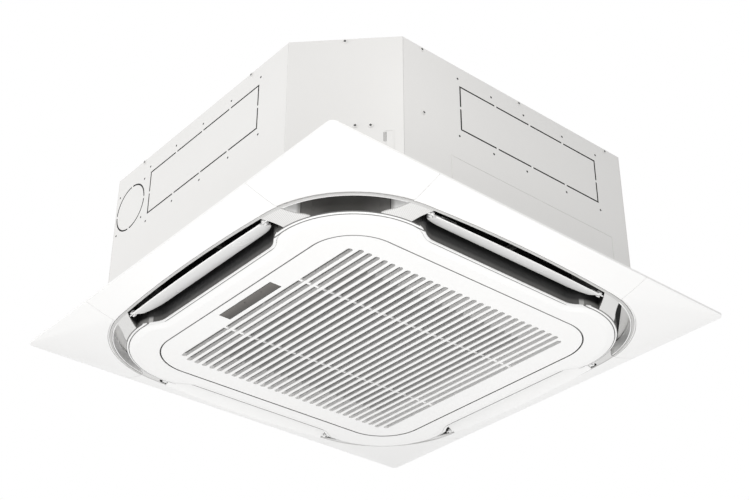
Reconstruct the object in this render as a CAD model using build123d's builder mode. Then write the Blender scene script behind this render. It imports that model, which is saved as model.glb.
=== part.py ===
from build123d import *
import os
from math import acos, atan2, cos, degrees, radians, sin, sqrt, tan

os.makedirs("parts", exist_ok=True)

# Four-way ceiling cassette: a sheet-metal body that hides above the ceiling, and a
# square panel below it with a middle intake grille and four air outlets with flaps.
# Millimetres, +Z up. The origin is the middle of the grille's lowest face.

# ---------------------------------------------------------------- decorative panel
panel_half = 475.0  # half the panel's width
panel_corner_r = 12.0
panel_wall = 2.5
rim_height = 4.0  # upright edge of the panel
rim_z = 38.5  # lower edge of that rim above the grille's face
ring_z = 20.5  # outer edge of the outlet ring above the grille's face
edge_z = 3.3  # edge of the centre panel above the grille's face
seam_gap = 0.6  # gap between neighbouring panel mouldings

rim_width = 50.0  # from the outlet ring to the panel's edge
ring_half = panel_half - rim_width  # outer edge of the outlet ring, mid-side
ring_corner_r = 211.0
ring_bow = 4.8  # degrees that a side turns away from straight at its end
lip_width = 5.0  # strip of the ring outside the outlets
inner_lip = 5.0  # strip of the ring inside the outlets

ring_width = 52.5  # sloping ring between the frame and the centre panel
waist_depth = 20.0
bulge_half = ring_half - ring_width  # centre panel, between the flaps
waist_half = bulge_half - waist_depth  # centre panel, beside a flap
bulge_corner_r = 155.0
waist_turn_r = 48.0  # both arcs of the turn from waist to bulge
edge_slope = 14.0  # width of the centre panel's sloping edge

outlet_end = ring_half - 225.0  # end of a flap's outlet, at the ring's lip
bridge_width = 48.0  # web between a flap's outlet and a corner outlet
bridge_hollow = 4.0  # how far the web's two edges curve in
outlet_slant = 0.64  # rise of the outlet's ends along the side, per mm inwards
duct_wall = 2.0
duct_top_wall = 2.5
ring_flange = 14.0
collar_gap = 7.0  # from the grille's edge to the collar round it

web_wall = 2.5  # webs behind the corner covers
web_drop = 0.5
web_reach = 10.0
web_end = panel_half - 23.0
access_x = ring_half - 23.0  # holes in the webs below the hanging rods
access_y = ring_half - 69.0
access_r = 24.0
panel_screw_r = 2.5
panel_screw_length = 12.0
cover_start = outlet_end + bridge_width + 4.0  # corner covers' seams from the middle
cover_post = 8.0
cover_post_x = cover_start + 40.0
cover_post_y = ring_half + 7.0
cover_post_foot = 27.0

# ---------------------------------------------------------------- flaps
flap_side_gap = 4.0  # beside a closed flap
flap_recess = 1.2  # closed flap above the ring's face
flap_inner_gap = 8.0
flap_wall = 3.0
flap_crown = 1.4  # bulge of the flap's face across its width
flap_axis_in = 15.3  # pivot from the flap's outer edge
flap_axis_up = 2.95  # pivot above the flap's face
flap_open = 39.0  # degrees from closed, as it stands at rest
flap_length = 2 * outlet_end - 4.0
flap_straight = outlet_end - 50.0  # half length over which its inner edge is straight
flap_tip = 20.0  # how much narrower its tips are
flap_pin_r = 1.5
flap_boss_r = 2.6
flap_boss_length = 14.0
running_gap = 0.05  # radial, between a pin and its bore
flap_bow = 7.5  # bow of its outer edge
flap_pin_reach = outlet_end + 20.0  # end of the plain pin from the middle of the flap
flap_drive_reach = outlet_end + 32.5  # end of the driven pin
bore_reach = outlet_end + 33.0  # bores for both pins

stepper_r = 9.5
stepper_length = 16.0
stepper_in = 4.0  # stepper's middle from the flap's axis, inwards
stepper_up = 7.2
stepper_start = outlet_end + 28.5  # its face from the middle of the side
stepper_bore_depth = 5.0

vane_wall = 2.0
vane_width = 20.0
vane_tilt = 88.0  # nearly upright
vane_reach = 36.0  # degrees that the vane turns each way round the corner
vane_inset = 7.6
vane_gap = 0.3
vane_z = 19.5

# ---------------------------------------------------------------- grille and filter
grille_half = waist_half - 41.0
grille_corner_r = 91.0
grille_gap = 1.5
grille_wall = 2.5
grille_flange = 11.0
grille_flange_wall = 2.0
grille_edge_r = 1.5
slot_count = 30
slot_width = 10.6
slot_half_length = grille_half - 46.5
slot_first = slot_half_length - 9.5  # middle of the first and of the last slot
slot_pitch = 2 * slot_first / (slot_count - 1)
slot_field_corner_r = 32.0
slat_depth = 7.5
slat_margin = 8.0  # thicker field beyond the slots
rib_y = 113.5
rib_width = 5.0
rib_recess = 3.0
rib_depth = 4.0

filter_half = grille_half - 38.5
filter_frame_width = 12.0
filter_frame_height = 6.0
filter_gap = 0.3
filter_mesh_wall = 0.8

hinge_back = 14.5  # hinge line beyond the edge of the grille's opening
hinge_z = 6.0
hinge_y = 150.0
hinge_pin_r = 1.5
neck_width = 12.0  # bent arms that reach from the grille round the opening's edge
neck_wall = 3.0
neck_gap = 0.5
ear_wall = 4.0  # ears on the centre panel that carry the pins
ear_gap = 0.4

catch_x = grille_half - 22.5
catch_y = 162.5
striker_size = 7.0
striker_top = 17.0
catch_gap = 0.4
catch_size = 16.0
catch_height = 14.0
plunger_size = 9.0
plunger_drop = 5.0  # plunger shown below its housing
plunger_travel = 4.0
slide_gap = 0.3

window_length = 157.0
window_width = 25.0
window_x = grille_half - 29.0
window_wall = 2.0
window_gap = 0.2
board_z = 24.0
board_depth = 46.0
board_wall = 2.0
led_r = 2.5
led_height = 5.0

# ---------------------------------------------------------------- body above the ceiling
body_half = ring_half - 5.0
corner_cut = 140.0  # leg of the cut corners
body_bottom = 44.0
body_top = 349.0
sheet = 1.0
fold_lip = 1.5  # how far a corner sheet is folded onto the side beside it
bottom_flange = 18.0
top_bead = 2.0
top_recess = 0.4
bead_pitch = 360.0
bead_length = 420.0
bead_width = 24.0

knockout_length = 350.0  # rectangular duct knockouts
knockout_height = 94.0
knockout_z = 257.0
knockout_slit = 3.2
knockout_bridge = 5.0
front_knockout_x = 29.8
pilot_r = 2.2
pilot_row = knockout_height / 2 + 16.0  # pilot holes above and below the middle
pilot_end = knockout_length / 2 + 5.0  # and the last one along each row
side_row = (-1.0, -0.5, 0.0, 0.5, 1.0)  # places along the row, as shares of its half
front_row = (-1.0, -0.54, -0.08, 0.49, 1.0)
round_x = -225.0  # round fresh-air knockout
round_r = 48.5
round_pitch = 89.0
side_knockout_x = round_x + 68.5 + knockout_length / 2
press_x = 32.0  # pressed outline low on the front
press_width = 408.0
press_top = 145.5
tab_x = 75.0  # and a narrow one on the near cut corner
tab_width = 16.0
tab_top = 146.5
press_line = 2.0
press_height = 0.6
corner_slot_x = 68.0
corner_slot_z = 133.0
corner_slot_length = 21.0
screw_head_r = 4.0
screw_head = 1.6
side_screws = ((169.0, 343.0), (-185.0, 343.0))
front_screws = ((-235.0, 341.5), (4.0, 341.5), (238.0, 341.5), (-234.0, 203.5))
corner_screws = ((-1.0, 342.0), (18.0, 158.5), (44.0, 157.5))
panel_screw_x = body_half - 5.0
panel_screw_y = body_half - corner_cut - 10.0

pan_gap = 0.6
pan_bottom = 45.5
pan_top = 96.0
trough_bottom = 64.0
trough_gap = 4.0  # between the trough's walls and the coil
pan_wall = 12.0
pan_trim = 17.0  # foam's air outlets end this far inside the panel's
pan_longer = 50.0  # and run on past them towards the corners
plug_x = body_half - 102.0
plug_r = 9.0

liner_wall = 18.0
liner_slab = 18.0
liner_motor_hole_r = 98.0

coil_half = body_half - 112.5  # centre line of the coil's wall
coil_wall = 45.0
coil_corner_r = 60.0
coil_seat = 0.3
coil_open_from = coil_half - 102.5  # the coil's two ends, at the pipe corner
end_plate_wall = 1.5
bend_r = 11.0
tube_r = 4.5
bend_count = 5
bend_first = 30.0
bend_pitch = 44.0
header_bottom = 90.0
header_height = 210.0
gas_header_x = coil_half - 7.5
liquid_header_x = coil_half + 18.5
stub_heights = (112.0, 200.0, 288.0)

pipe_y = coil_open_from + 57.0
gas_z = 246.0
gas_r = 7.94
liquid_y = coil_open_from + 41.0
liquid_z = 196.0
liquid_r = 4.76
union_start = body_half - 25.0
pipe_reach = 44.0
pipe_wall = 1.0
nut_gap = 0.1  # radial, round the tube that is pushed in
nut_end = 4.0
nut_length = 24.0
nut_wall = 5.5
pipe_plate_wall = 2.0
pipe_plate_width = 66.0
pipe_plate_height = 118.0
cable_spots = ((-150.0, 122.0), (-186.0, 122.0))
cable_r = 7.0
grommet_wall = 2.0

bell_flange_r = 240.0
bell_mouth_r = 205.0
bell_bend = 40.0  # radius from the mouth into the throat
bell_wall = 2.0
bell_z = 60.3
bell_top = 108.0

fan_r = 225.0
fan_eye_r = 170.0
fan_bend = 34.0
fan_bottom = 99.0
fan_shroud_top = 142.0
fan_hub_z = 256.0
fan_hub_r = 112.0
fan_nose_r = 48.0
fan_nose_z = 190.0
fan_wall = 2.5
blade_count = 7
blade_inner_r = 128.0
blade_wall = 3.0
blade_sweep = 48.0  # degrees from a blade's inner edge to its outer edge
blade_bow = 0.16  # bow of a blade, as a share of its chord
boss_r = 15.0
boss_top = 204.0
boss_bottom = 176.0
press_gap = 0.02

shaft_r = 6.0
shaft_top = 262.0
nut_r = 11.0
nut_height = 9.0
motor_r = 66.0
motor_edge_r = 8.0
motor_z = 264.0
motor_top = 320.0
motor_boss_r = 38.0
motor_boss_z = 226.0
motor_lug_r = 82.0
motor_lug_size = 26.0
motor_lug_z = 300.0
motor_lug_wall = 5.0
mount_r = 9.0
mount_neck_r = 6.5
mount_height = 11.0
stud_r = 4.0
stud_shoulder_r = 7.0
stud_gap = 0.1
stud_end = 286.0
motor_nut_height = 6.0

box_x = 208.0
box_width = 66.0
box_length = 320.0
box_bottom = 27.0
board_inset = 8.0  # circuit board from the box's walls
board_drop = 6.0  # and below its top
part_height = 14.0  # tallest parts on the board
box_wall = 1.2
box_recess_gap = 4.0

pump_x = coil_open_from + 53.0
pump_y = coil_half - 7.5
pump_r = 22.0
pump_height = 62.0
pump_foot = 6.0
hose_r = 11.0
hose_wall = 3.0
hose_bend = 30.0
hose_overlap = 12.0
float_x = coil_open_from + 57.0
float_stem_r = 3.0
float_r = 9.0
float_height = 12.0
float_travel = 12.0
drain_r = 16.0
drain_wall = 2.5
drain_z = 262.0
drain_start = body_half - 22.0
drain_reach = 48.0

hanger_x = body_half - 30.0  # half spacing of the hanging rods
hanger_y = body_half - 80.0
hanger_z = 66.0
hanger_wall = 2.5
hanger_slot_width = 12.0
hanger_slot_length = 32.0
hanger_width = 96.0
hanger_reach = 48.0
hanger_height = 52.0


# ================================================================ outlines
SIDES = ("right", "rear", "left", "front")  # +X, +Y, -X, -Y
CORNERS = ("rear_right", "rear_left", "front_left", "front_right")


def turned(x, y, z, quarter):
    """The vector (x, y, z) turned by whole quarters about the vertical axis."""
    return Vector(x, y, z).rotate(Axis.Z, 90 * quarter)


def turned_plane(origin, x_dir, z_dir, quarter):
    """A plane given on the +X side, turned to another side of the cassette."""
    return Plane(
        origin=turned(*origin, quarter),
        x_dir=turned(*x_dir, quarter),
        z_dir=turned(*z_dir, quarter),
    )


def outline(z, start, heading, steps):
    """Face at height z inside tangent lines (None, length) and arcs (radius, angle)."""
    with BuildSketch(Plane.XY.offset(z)) as shape:
        with BuildLine():
            point = Vector(*start)
            direction = Vector(*heading)
            for radius, amount in steps:
                if radius is None:
                    edge = Line(point, point + direction * amount)
                else:
                    edge = JernArc(point, direction, radius, amount)
                point = edge @ 1
                direction = edge % 1
        make_face()
    return shape.sketch


def rounded_square(z, half, radius):
    """Square with rounded corners."""
    straight = half - radius
    steps = [(None, 2 * straight), (radius, 90)] * 4
    return outline(z, (half, -straight), (0, 1), steps)


def rim_outline(z, inset=0.0):
    """Outline of the panel's rim."""
    return rounded_square(z, panel_half - inset, panel_corner_r - inset)


def ring_outline(z, inset=0.0):
    """Outer edge of the outlet ring: bowed sides that run into wide corner arcs."""
    bow = radians(ring_bow)
    middle = (ring_half - ring_corner_r) / (1 + tan(bow / 2))
    side_r = ring_corner_r + middle / sin(bow)
    corner_r = ring_corner_r - inset
    start = (middle + corner_r * cos(bow), -middle - corner_r * sin(bow))
    steps = [(side_r - inset, 2 * ring_bow), (corner_r, 90 - 2 * ring_bow)] * 4
    return outline(z, start, (sin(bow), cos(bow)), steps)


def centre_outline(z, inset=0.0):
    """Centre panel's edge: a waist beside each flap and a bulge towards each corner."""
    turn = degrees(acos(1 - (bulge_half - waist_half) / (2 * waist_turn_r)))
    middle = bulge_half - bulge_corner_r
    straight = middle - 2 * waist_turn_r * sin(radians(turn))
    steps = [
        (None, 2 * straight),
        (waist_turn_r + inset, -turn),
        (waist_turn_r - inset, turn),
        (bulge_corner_r - inset, 90),
        (waist_turn_r - inset, turn),
        (waist_turn_r + inset, -turn),
    ] * 4
    return outline(z, (waist_half - inset, -straight), (0, 1), steps)


def bulge_outline(z, inset=0.0):
    """Centre panel's edge without its waists: the inner edge of the bridging webs."""
    return rounded_square(z, bulge_half - inset, bulge_corner_r - inset)


def body_outline(z, inset=0.0):
    """Casing's outline: a square with cut corners, drawn in by an inset."""
    half = body_half - inset
    flat = half - (corner_cut - inset * (2 - sqrt(2)))
    points = []
    for quarter in range(4):
        points.append(turned(half, -flat, 0, quarter))
        points.append(turned(half, flat, 0, quarter))
    with BuildSketch(Plane.XY.offset(z)) as shape:
        with BuildLine():
            Polyline(*[(p.X, p.Y) for p in points], close=True)
        make_face()
    return shape.sketch


def corner_mask(z, start, reach, quarter):
    """Square over one corner, from a start on both sides out to a reach."""
    middle = turned((start + reach) / 2, (start + reach) / 2, 0, quarter)
    with BuildSketch(Plane.XY.offset(z)) as shape:
        with Locations((middle.X, middle.Y)):
            Rectangle(reach - start, reach - start)
    return shape.sketch


def end_edge(first, hollow):
    """Slanted end of an outlet from the ring's lip inwards, with a curved middle."""
    lip_x = ring_half - lip_width
    start = (lip_x, first)
    end = (bulge_half, first + (lip_x - bulge_half) * outlet_slant)
    middle = ((start[0] + end[0]) / 2, (start[1] + end[1]) / 2 + hollow)
    return start, middle, end


def side_outlet(quarter, first):
    """Plan of a flap's outlet, wider than the ring on both sides."""
    inner = waist_half - 2 * edge_slope
    outer = ring_half + edge_slope
    start, middle, end = end_edge(first, bridge_hollow)
    with BuildSketch() as shape:
        with BuildLine():
            Polyline((inner, -end[1]), (inner, end[1]), end)
            ThreePointArc(end, middle, start)
            Polyline(start, (outer, start[1]), (outer, -start[1]), (start[0], -start[1]))
            ThreePointArc((start[0], -start[1]), (middle[0], -middle[1]), (end[0], -end[1]))
            Line((end[0], -end[1]), (inner, -end[1]))
        make_face()
    return shape.sketch.rotate(Axis.Z, 90 * quarter)


def corner_outlet(quarter, first):
    """Plan of a corner outlet, wider than the ring on both sides."""
    outer = ring_half + edge_slope
    start, middle, end = end_edge(first, -bridge_hollow)
    far = (end[1] + end[0] * outlet_slant) / (1 + outlet_slant)
    with BuildSketch() as shape:
        with BuildLine():
            Line((far, far), end)
            ThreePointArc(end, middle, start)
            Polyline(start, (outer, start[1]), (outer, outer), (start[1], outer), start[::-1])
            ThreePointArc(start[::-1], middle[::-1], end[::-1])
            Line(end[::-1], (far, far))
        make_face()
    return shape.sketch.rotate(Axis.Z, 90 * quarter)


def outlet_shape(z, grow=0.0, trim=0.0, longer=0.0, corners=True):
    """The air outlets in plan: four beside the flaps and four at the corners."""
    with BuildSketch() as ends:
        for quarter in range(4):
            add(side_outlet(quarter, outlet_end + grow + longer))
            if corners:
                add(corner_outlet(quarter, outlet_end + bridge_width - grow))
    with BuildSketch(Plane.XY.offset(z)) as shape:
        add(ring_outline(0, lip_width - grow + trim))
        add(centre_outline(0, grow - seam_gap - inner_lip), mode=Mode.SUBTRACT)
        add(ends.sketch, mode=Mode.INTERSECT)
    return shape.sketch


def save(piece, name):
    """Label a finished piece and write its file."""
    piece.part.label = name
    export_step(piece.part, "parts/" + name + ".step")


# ---------------------------------------------------------------- worked-out sizes
rim_slope = atan2(rim_z - ring_z, panel_half - ring_half)
rim_rise = panel_wall / cos(rim_slope)
web_slope = atan2(ring_z - edge_z, ring_half - bulge_half)
web_rise = duct_wall / cos(web_slope)
panel_top = rim_z + rim_height
lip_z = ring_z - lip_width * tan(web_slope)

flap_run = ring_half - lip_width - waist_half
flap_fall = atan2(lip_z - edge_z, flap_run)
flap_width = sqrt(flap_run**2 + (lip_z - edge_z) ** 2) - flap_inner_gap - inner_lip - flap_side_gap
flap_edge_x = ring_half - lip_width - flap_side_gap
flap_edge_z = lip_z + flap_recess
flap_axis_x = flap_edge_x - flap_axis_in * cos(flap_fall) - flap_axis_up * sin(flap_fall)
flap_axis_z = flap_edge_z - flap_axis_in * sin(flap_fall) + flap_axis_up * cos(flap_fall)
flap_lift = radians(flap_open) - flap_fall

hinge_x = grille_half + grille_gap + hinge_back
neck_r = sqrt(hinge_back**2 + hinge_z**2) + neck_gap
flat_half = body_half - corner_cut  # half the width of the casing's straight sides
pan_inset = sheet + pan_gap
pan_half = coil_half + coil_wall / 2 + trough_gap + pan_wall
box_top = bell_z - slide_gap
pump_top = trough_bottom + coil_seat + pump_foot + pump_height
coil_bottom = trough_bottom + coil_seat
liner_top = body_top - top_bead - top_recess - sheet
coil_top = liner_top - liner_slab - coil_seat


# ================================================================ panel
def skirt(inset=0.0, rise=0.0):
    """Two sections of the panel's sloping skirt, from its rim to the outlet ring."""
    drop = inset * tan(rim_slope)
    return [rim_outline(rim_z - drop + rise, inset), ring_outline(ring_z + rise)]


def make_panel_frame():
    with BuildPart() as frame:
        extrude(rim_outline(rim_z), amount=rim_height)
        loft(skirt(), ruled=True)
        loft(skirt(panel_wall, rim_rise), ruled=True, mode=Mode.SUBTRACT)
        hollow = rim_z - panel_wall * tan(rim_slope) + rim_rise
        extrude(rim_outline(hollow, panel_wall), amount=rim_height, mode=Mode.SUBTRACT)
        extrude(ring_outline(0), amount=panel_top, mode=Mode.SUBTRACT)
        for quarter in range(4):
            region = corner_mask(0, cover_start, panel_half + rim_height, quarter)
            extrude(region, amount=panel_top + rim_height, mode=Mode.SUBTRACT)
        # upright wall round the outlet ring
        with BuildSketch(Plane.XY.offset(ring_z + rim_rise / 2)):
            add(ring_outline(0, -panel_wall))
            add(ring_outline(0), mode=Mode.SUBTRACT)
        extrude(amount=panel_top - ring_z - rim_rise / 2)
        # webs that carry the corner covers, open below the hanging rods
        with BuildSketch(Plane.XY.offset(panel_top - web_wall - web_drop)):
            for quarter in range(4):
                add(corner_mask(0, cover_start - web_reach, web_end, quarter))
            add(ring_outline(0, -panel_wall / 2), mode=Mode.SUBTRACT)
            for quarter in range(4):
                access = turned(access_x, access_y, 0, quarter)
                with Locations((access.X, access.Y)):
                    Circle(access_r, mode=Mode.SUBTRACT)
                hole = turned(panel_screw_x, panel_screw_y, 0, quarter)
                with Locations((hole.X, hole.Y)):
                    Circle(panel_screw_r + slide_gap, mode=Mode.SUBTRACT)
        extrude(amount=web_wall)
    save(frame, "panel_frame")


def make_corner_cover(quarter):
    with BuildPart() as cover:
        extrude(rim_outline(rim_z), amount=rim_height)
        loft(skirt(), ruled=True)
        loft(skirt(panel_wall, rim_rise), ruled=True, mode=Mode.SUBTRACT)
        hollow = rim_z - panel_wall * tan(rim_slope) + rim_rise
        extrude(rim_outline(hollow, panel_wall), amount=rim_height, mode=Mode.SUBTRACT)
        hole = ring_outline(0, -panel_wall - seam_gap)
        extrude(hole, amount=panel_top, mode=Mode.SUBTRACT)
        region = corner_mask(0, cover_start + seam_gap, panel_half + rim_height, quarter)
        extrude(region, amount=panel_top + rim_height, mode=Mode.INTERSECT)
        # two clip posts up to the frame's web
        web_under = panel_top - web_wall - web_drop - slide_gap
        for x, y in ((cover_post_x, cover_post_y), (cover_post_y, cover_post_x)):
            place = turned(x, y, 0, quarter)
            with BuildSketch(Plane.XY.offset(cover_post_foot)):
                with Locations((place.X, place.Y)):
                    Rectangle(cover_post, cover_post)
            extrude(amount=web_under - cover_post_foot)
    save(cover, "corner_cover_" + CORNERS[quarter])


def web_sections(rise=0.0, inset=0.0):
    """Two sections of the sloping ring between the frame and the centre panel."""
    return [ring_outline(ring_z + rise, inset), bulge_outline(edge_z + rise)]


def make_outlet_ring():
    with BuildPart() as ring:
        loft(web_sections(inset=seam_gap), ruled=True)
        loft(web_sections(web_rise), ruled=True, mode=Mode.SUBTRACT)
        with BuildSketch(Plane.XY.offset(ring_z - duct_wall / 2)):
            add(ring_outline(0, seam_gap))
            add(ring_outline(0, seam_gap + duct_wall), mode=Mode.SUBTRACT)
        extrude(amount=ring_flange)
        extrude(outlet_shape(0), amount=panel_top, mode=Mode.SUBTRACT)
        extrude(centre_outline(0, -seam_gap), amount=panel_top, mode=Mode.SUBTRACT)
    save(ring, "outlet_ring")


def make_duct_frame():
    """Eight ducts behind the ring, one for each outlet, with a flange on top."""
    above = web_rise + slide_gap
    with BuildPart() as duct:
        # everything above the ring's web
        loft(web_sections(above, seam_gap), ruled=True)
        extrude(ring_outline(ring_z + above, seam_gap), amount=panel_top)
        # only the walls round the outlets are left of it
        extrude(outlet_shape(0, duct_wall), amount=panel_top, mode=Mode.INTERSECT)
        with BuildSketch(Plane.XY.offset(panel_top - duct_top_wall)):
            add(ring_outline(0, 2 * seam_gap))
            add(centre_outline(0, seam_gap), mode=Mode.SUBTRACT)
        extrude(amount=duct_top_wall)
        extrude(outlet_shape(0), amount=panel_top, mode=Mode.SUBTRACT)
        # joints in the flange, along the middle of the bridges
        middle = end_edge(outlet_end + bridge_width / 2, 0.0)[1]
        slant = degrees(atan2(outlet_slant, 1))
        with BuildSketch(Plane.XY.offset(panel_top - duct_top_wall)):
            for quarter in range(4):
                for sign in (-1, 1):
                    place = turned(middle[0], sign * middle[1], 0, quarter)
                    with Locations((place.X, place.Y)):
                        turn = 90 * quarter - sign * slant
                        Rectangle(2 * ring_width, slide_gap, rotation=turn)
        extrude(amount=duct_top_wall, mode=Mode.SUBTRACT)
        # bores for the flaps' pins in the outlets' end walls
        for quarter in range(4):
            axis = turned_plane(
                (flap_axis_x, -bore_reach, flap_axis_z), (1, 0, 0), (0, 1, 0), quarter
            )
            with BuildSketch(axis):
                Circle(flap_pin_r + running_gap)
            extrude(amount=2 * bore_reach, mode=Mode.SUBTRACT)
    save(duct, "duct_frame")


def make_corner_vanes():
    """Fixed upright strip along the outer wall of each corner outlet."""
    bow = radians(ring_bow)
    middle = (ring_half - ring_corner_r) / (1 + tan(bow / 2))
    outer = ring_corner_r - vane_inset
    lean = radians(vane_tilt)
    wide = (vane_width * cos(lean), vane_width * sin(lean))
    thick = (vane_wall * sin(lean), vane_wall * cos(lean))
    with BuildPart() as vanes:
        for quarter in range(4):
            centre = turned(middle, middle, 0, quarter)
            start = turned(1, 1, 0, quarter).normalized().rotate(Axis.Z, -vane_reach)
            side = start.cross(Vector(0, 0, 1))
            with BuildSketch(Plane(origin=centre, x_dir=start, z_dir=side)):
                with BuildLine():
                    Polyline(
                        (outer, vane_z),
                        (outer + thick[0], vane_z + thick[1]),
                        (outer + thick[0] - wide[0], vane_z + thick[1] + wide[1]),
                        (outer - wide[0], vane_z + wide[1]),
                        close=True,
                    )
                make_face()
            pivot = Axis((centre.X, centre.Y, 0), (0, 0, 1))
            revolve(axis=pivot, revolution_arc=2 * vane_reach)
        # slanted ends, clear of the outlet's edges
        extrude(outlet_shape(0, -vane_gap), amount=panel_top, mode=Mode.INTERSECT)
    save(vanes, "corner_vanes")


def make_centre_panel():
    with BuildPart() as panel:
        lower = centre_outline(0, edge_slope)
        loft([lower, centre_outline(edge_z)], ruled=True)
        extrude(centre_outline(edge_z), amount=panel_wall)
        inner_z = panel_wall
        with BuildSketch(Plane.XY.offset(inner_z)):
            add(centre_outline(0, edge_slope))
        extrude(amount=panel_top, mode=Mode.SUBTRACT)
        # opening for the grille, wider at the back so that its edge can swing out
        hole_half = grille_half + grille_gap
        hole = rounded_square(0, hole_half, grille_corner_r + grille_gap)
        extrude(hole, amount=panel_wall, taper=-45, mode=Mode.SUBTRACT)
        # upright collar that leads the air up to the bell mouth
        collar = collar_gap + grille_half
        with BuildSketch(Plane.XY.offset(panel_wall / 2)):
            add(rounded_square(0, collar + panel_wall, grille_corner_r))
            add(rounded_square(0, collar, grille_corner_r - panel_wall), mode=Mode.SUBTRACT)
        extrude(amount=panel_top - panel_wall / 2)
        # gaps in the collar for the grille's bent arms, and ears for their pins
        with BuildSketch(Plane.XY.offset(panel_wall)):
            with Locations((-collar, -hinge_y), (-collar, hinge_y)):
                Rectangle(4 * panel_wall, neck_width + 4 * ear_gap)
        extrude(amount=hinge_z + neck_r + neck_wall + 2 * neck_gap, mode=Mode.SUBTRACT)
        for y in (-hinge_y, hinge_y):
            gap = neck_width / 2 + ear_gap
            for face in (y - gap, y + gap + ear_wall):
                with BuildSketch(Plane.XZ.offset(-face)):
                    with Locations((-hinge_x, (panel_wall / 2 + hinge_z) / 2)):
                        Rectangle(6 * hinge_pin_r, hinge_z - panel_wall / 2)
                    with Locations((-hinge_x, hinge_z)):
                        Circle(3 * hinge_pin_r)
                        Circle(hinge_pin_r + running_gap, mode=Mode.SUBTRACT)
                extrude(amount=ear_wall)
        # shelves that hold the two grille catches
        shelf_z = striker_top + catch_gap + plunger_drop + catch_height
        for y in (-catch_y, catch_y):
            with BuildSketch(Plane.XY.offset(shelf_z + slide_gap)):
                reach = collar + panel_wall - catch_x + catch_size / 2
                with Locations((collar + panel_wall - reach / 2, y)):
                    Rectangle(reach, catch_size)
            extrude(amount=panel_wall)
    save(panel, "centre_panel")


# ================================================================ flaps
def flap_plane(quarter, along=0.0, end_on=False):
    """Plane of an open flap, x inwards from its outer edge: its face, or end on."""
    inwards = (-cos(flap_lift), 0, sin(flap_lift))
    back = (sin(flap_lift), 0, cos(flap_lift))
    origin = (
        flap_axis_x - flap_axis_in * inwards[0] - flap_axis_up * back[0],
        along,
        flap_axis_z - flap_axis_in * inwards[2] - flap_axis_up * back[2],
    )
    return turned_plane(origin, inwards, (0, 1, 0) if end_on else back, quarter)


def make_flap(quarter):
    half = flap_length / 2
    with BuildPart() as flap:
        # crowned strip, as wide as the outlet
        with BuildSketch(flap_plane(quarter, -half, end_on=True)):
            with BuildLine():
                middle = flap_width / 2
                face = ThreePointArc((0, 0), (middle, -flap_crown), (flap_width, 0))
                back = ThreePointArc(
                    (0, flap_wall / 2),
                    (middle, flap_wall - flap_crown),
                    (flap_width, flap_wall / 2),
                )
                Line(face @ 0, back @ 0)
                Line(face @ 1, back @ 1)
            make_face()
        extrude(amount=flap_length)
        # plan of the flap: bowed outer edge, inner edge that falls away to the tips
        with BuildSketch(flap_plane(quarter).offset(-2 * flap_wall)):
            with BuildLine():
                outer = ThreePointArc((flap_bow, -half), (0, 0), (flap_bow, half))
                inner = Line((flap_width, -flap_straight), (flap_width, flap_straight))
                tip = flap_width - flap_tip
                end_a = TangentArc(inner @ 1, (tip, half), tangent=(0, 1))
                end_b = TangentArc(inner @ 0, (tip, -half), tangent=(0, -1))
                Line(outer @ 1, end_a @ 1)
                Line(outer @ 0, end_b @ 1)
            make_face()
        extrude(amount=4 * flap_wall, mode=Mode.INTERSECT)
        # pivot bosses and pins at both ends
        root = half - flap_boss_length
        for sign, reach in ((1, flap_drive_reach), (-1, flap_pin_reach)):
            axis = turned_plane(
                (flap_axis_x, sign * root, flap_axis_z), (1, 0, 0), (0, sign, 0), quarter
            )
            with BuildSketch(axis):
                Circle(flap_boss_r)
            extrude(amount=flap_boss_length)
            with BuildSketch(axis):
                Circle(flap_pin_r)
            extrude(amount=reach - root)
    save(flap, "flap_" + SIDES[quarter])


def make_flap_motor(quarter):
    with BuildPart() as motor:
        face = turned_plane(
            (flap_axis_x - stepper_in, stepper_start, flap_axis_z + stepper_up),
            (1, 0, 0),
            (0, 1, 0),
            quarter,
        )
        with BuildSketch(face):
            Circle(stepper_r)
        extrude(amount=stepper_length)
        socket = turned_plane(
            (flap_axis_x, stepper_start, flap_axis_z), (1, 0, 0), (0, 1, 0), quarter
        )
        with BuildSketch(socket):
            Circle(flap_pin_r + running_gap)
        extrude(amount=stepper_bore_depth, mode=Mode.SUBTRACT)
    save(motor, "flap_motor_" + SIDES[quarter])


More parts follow.
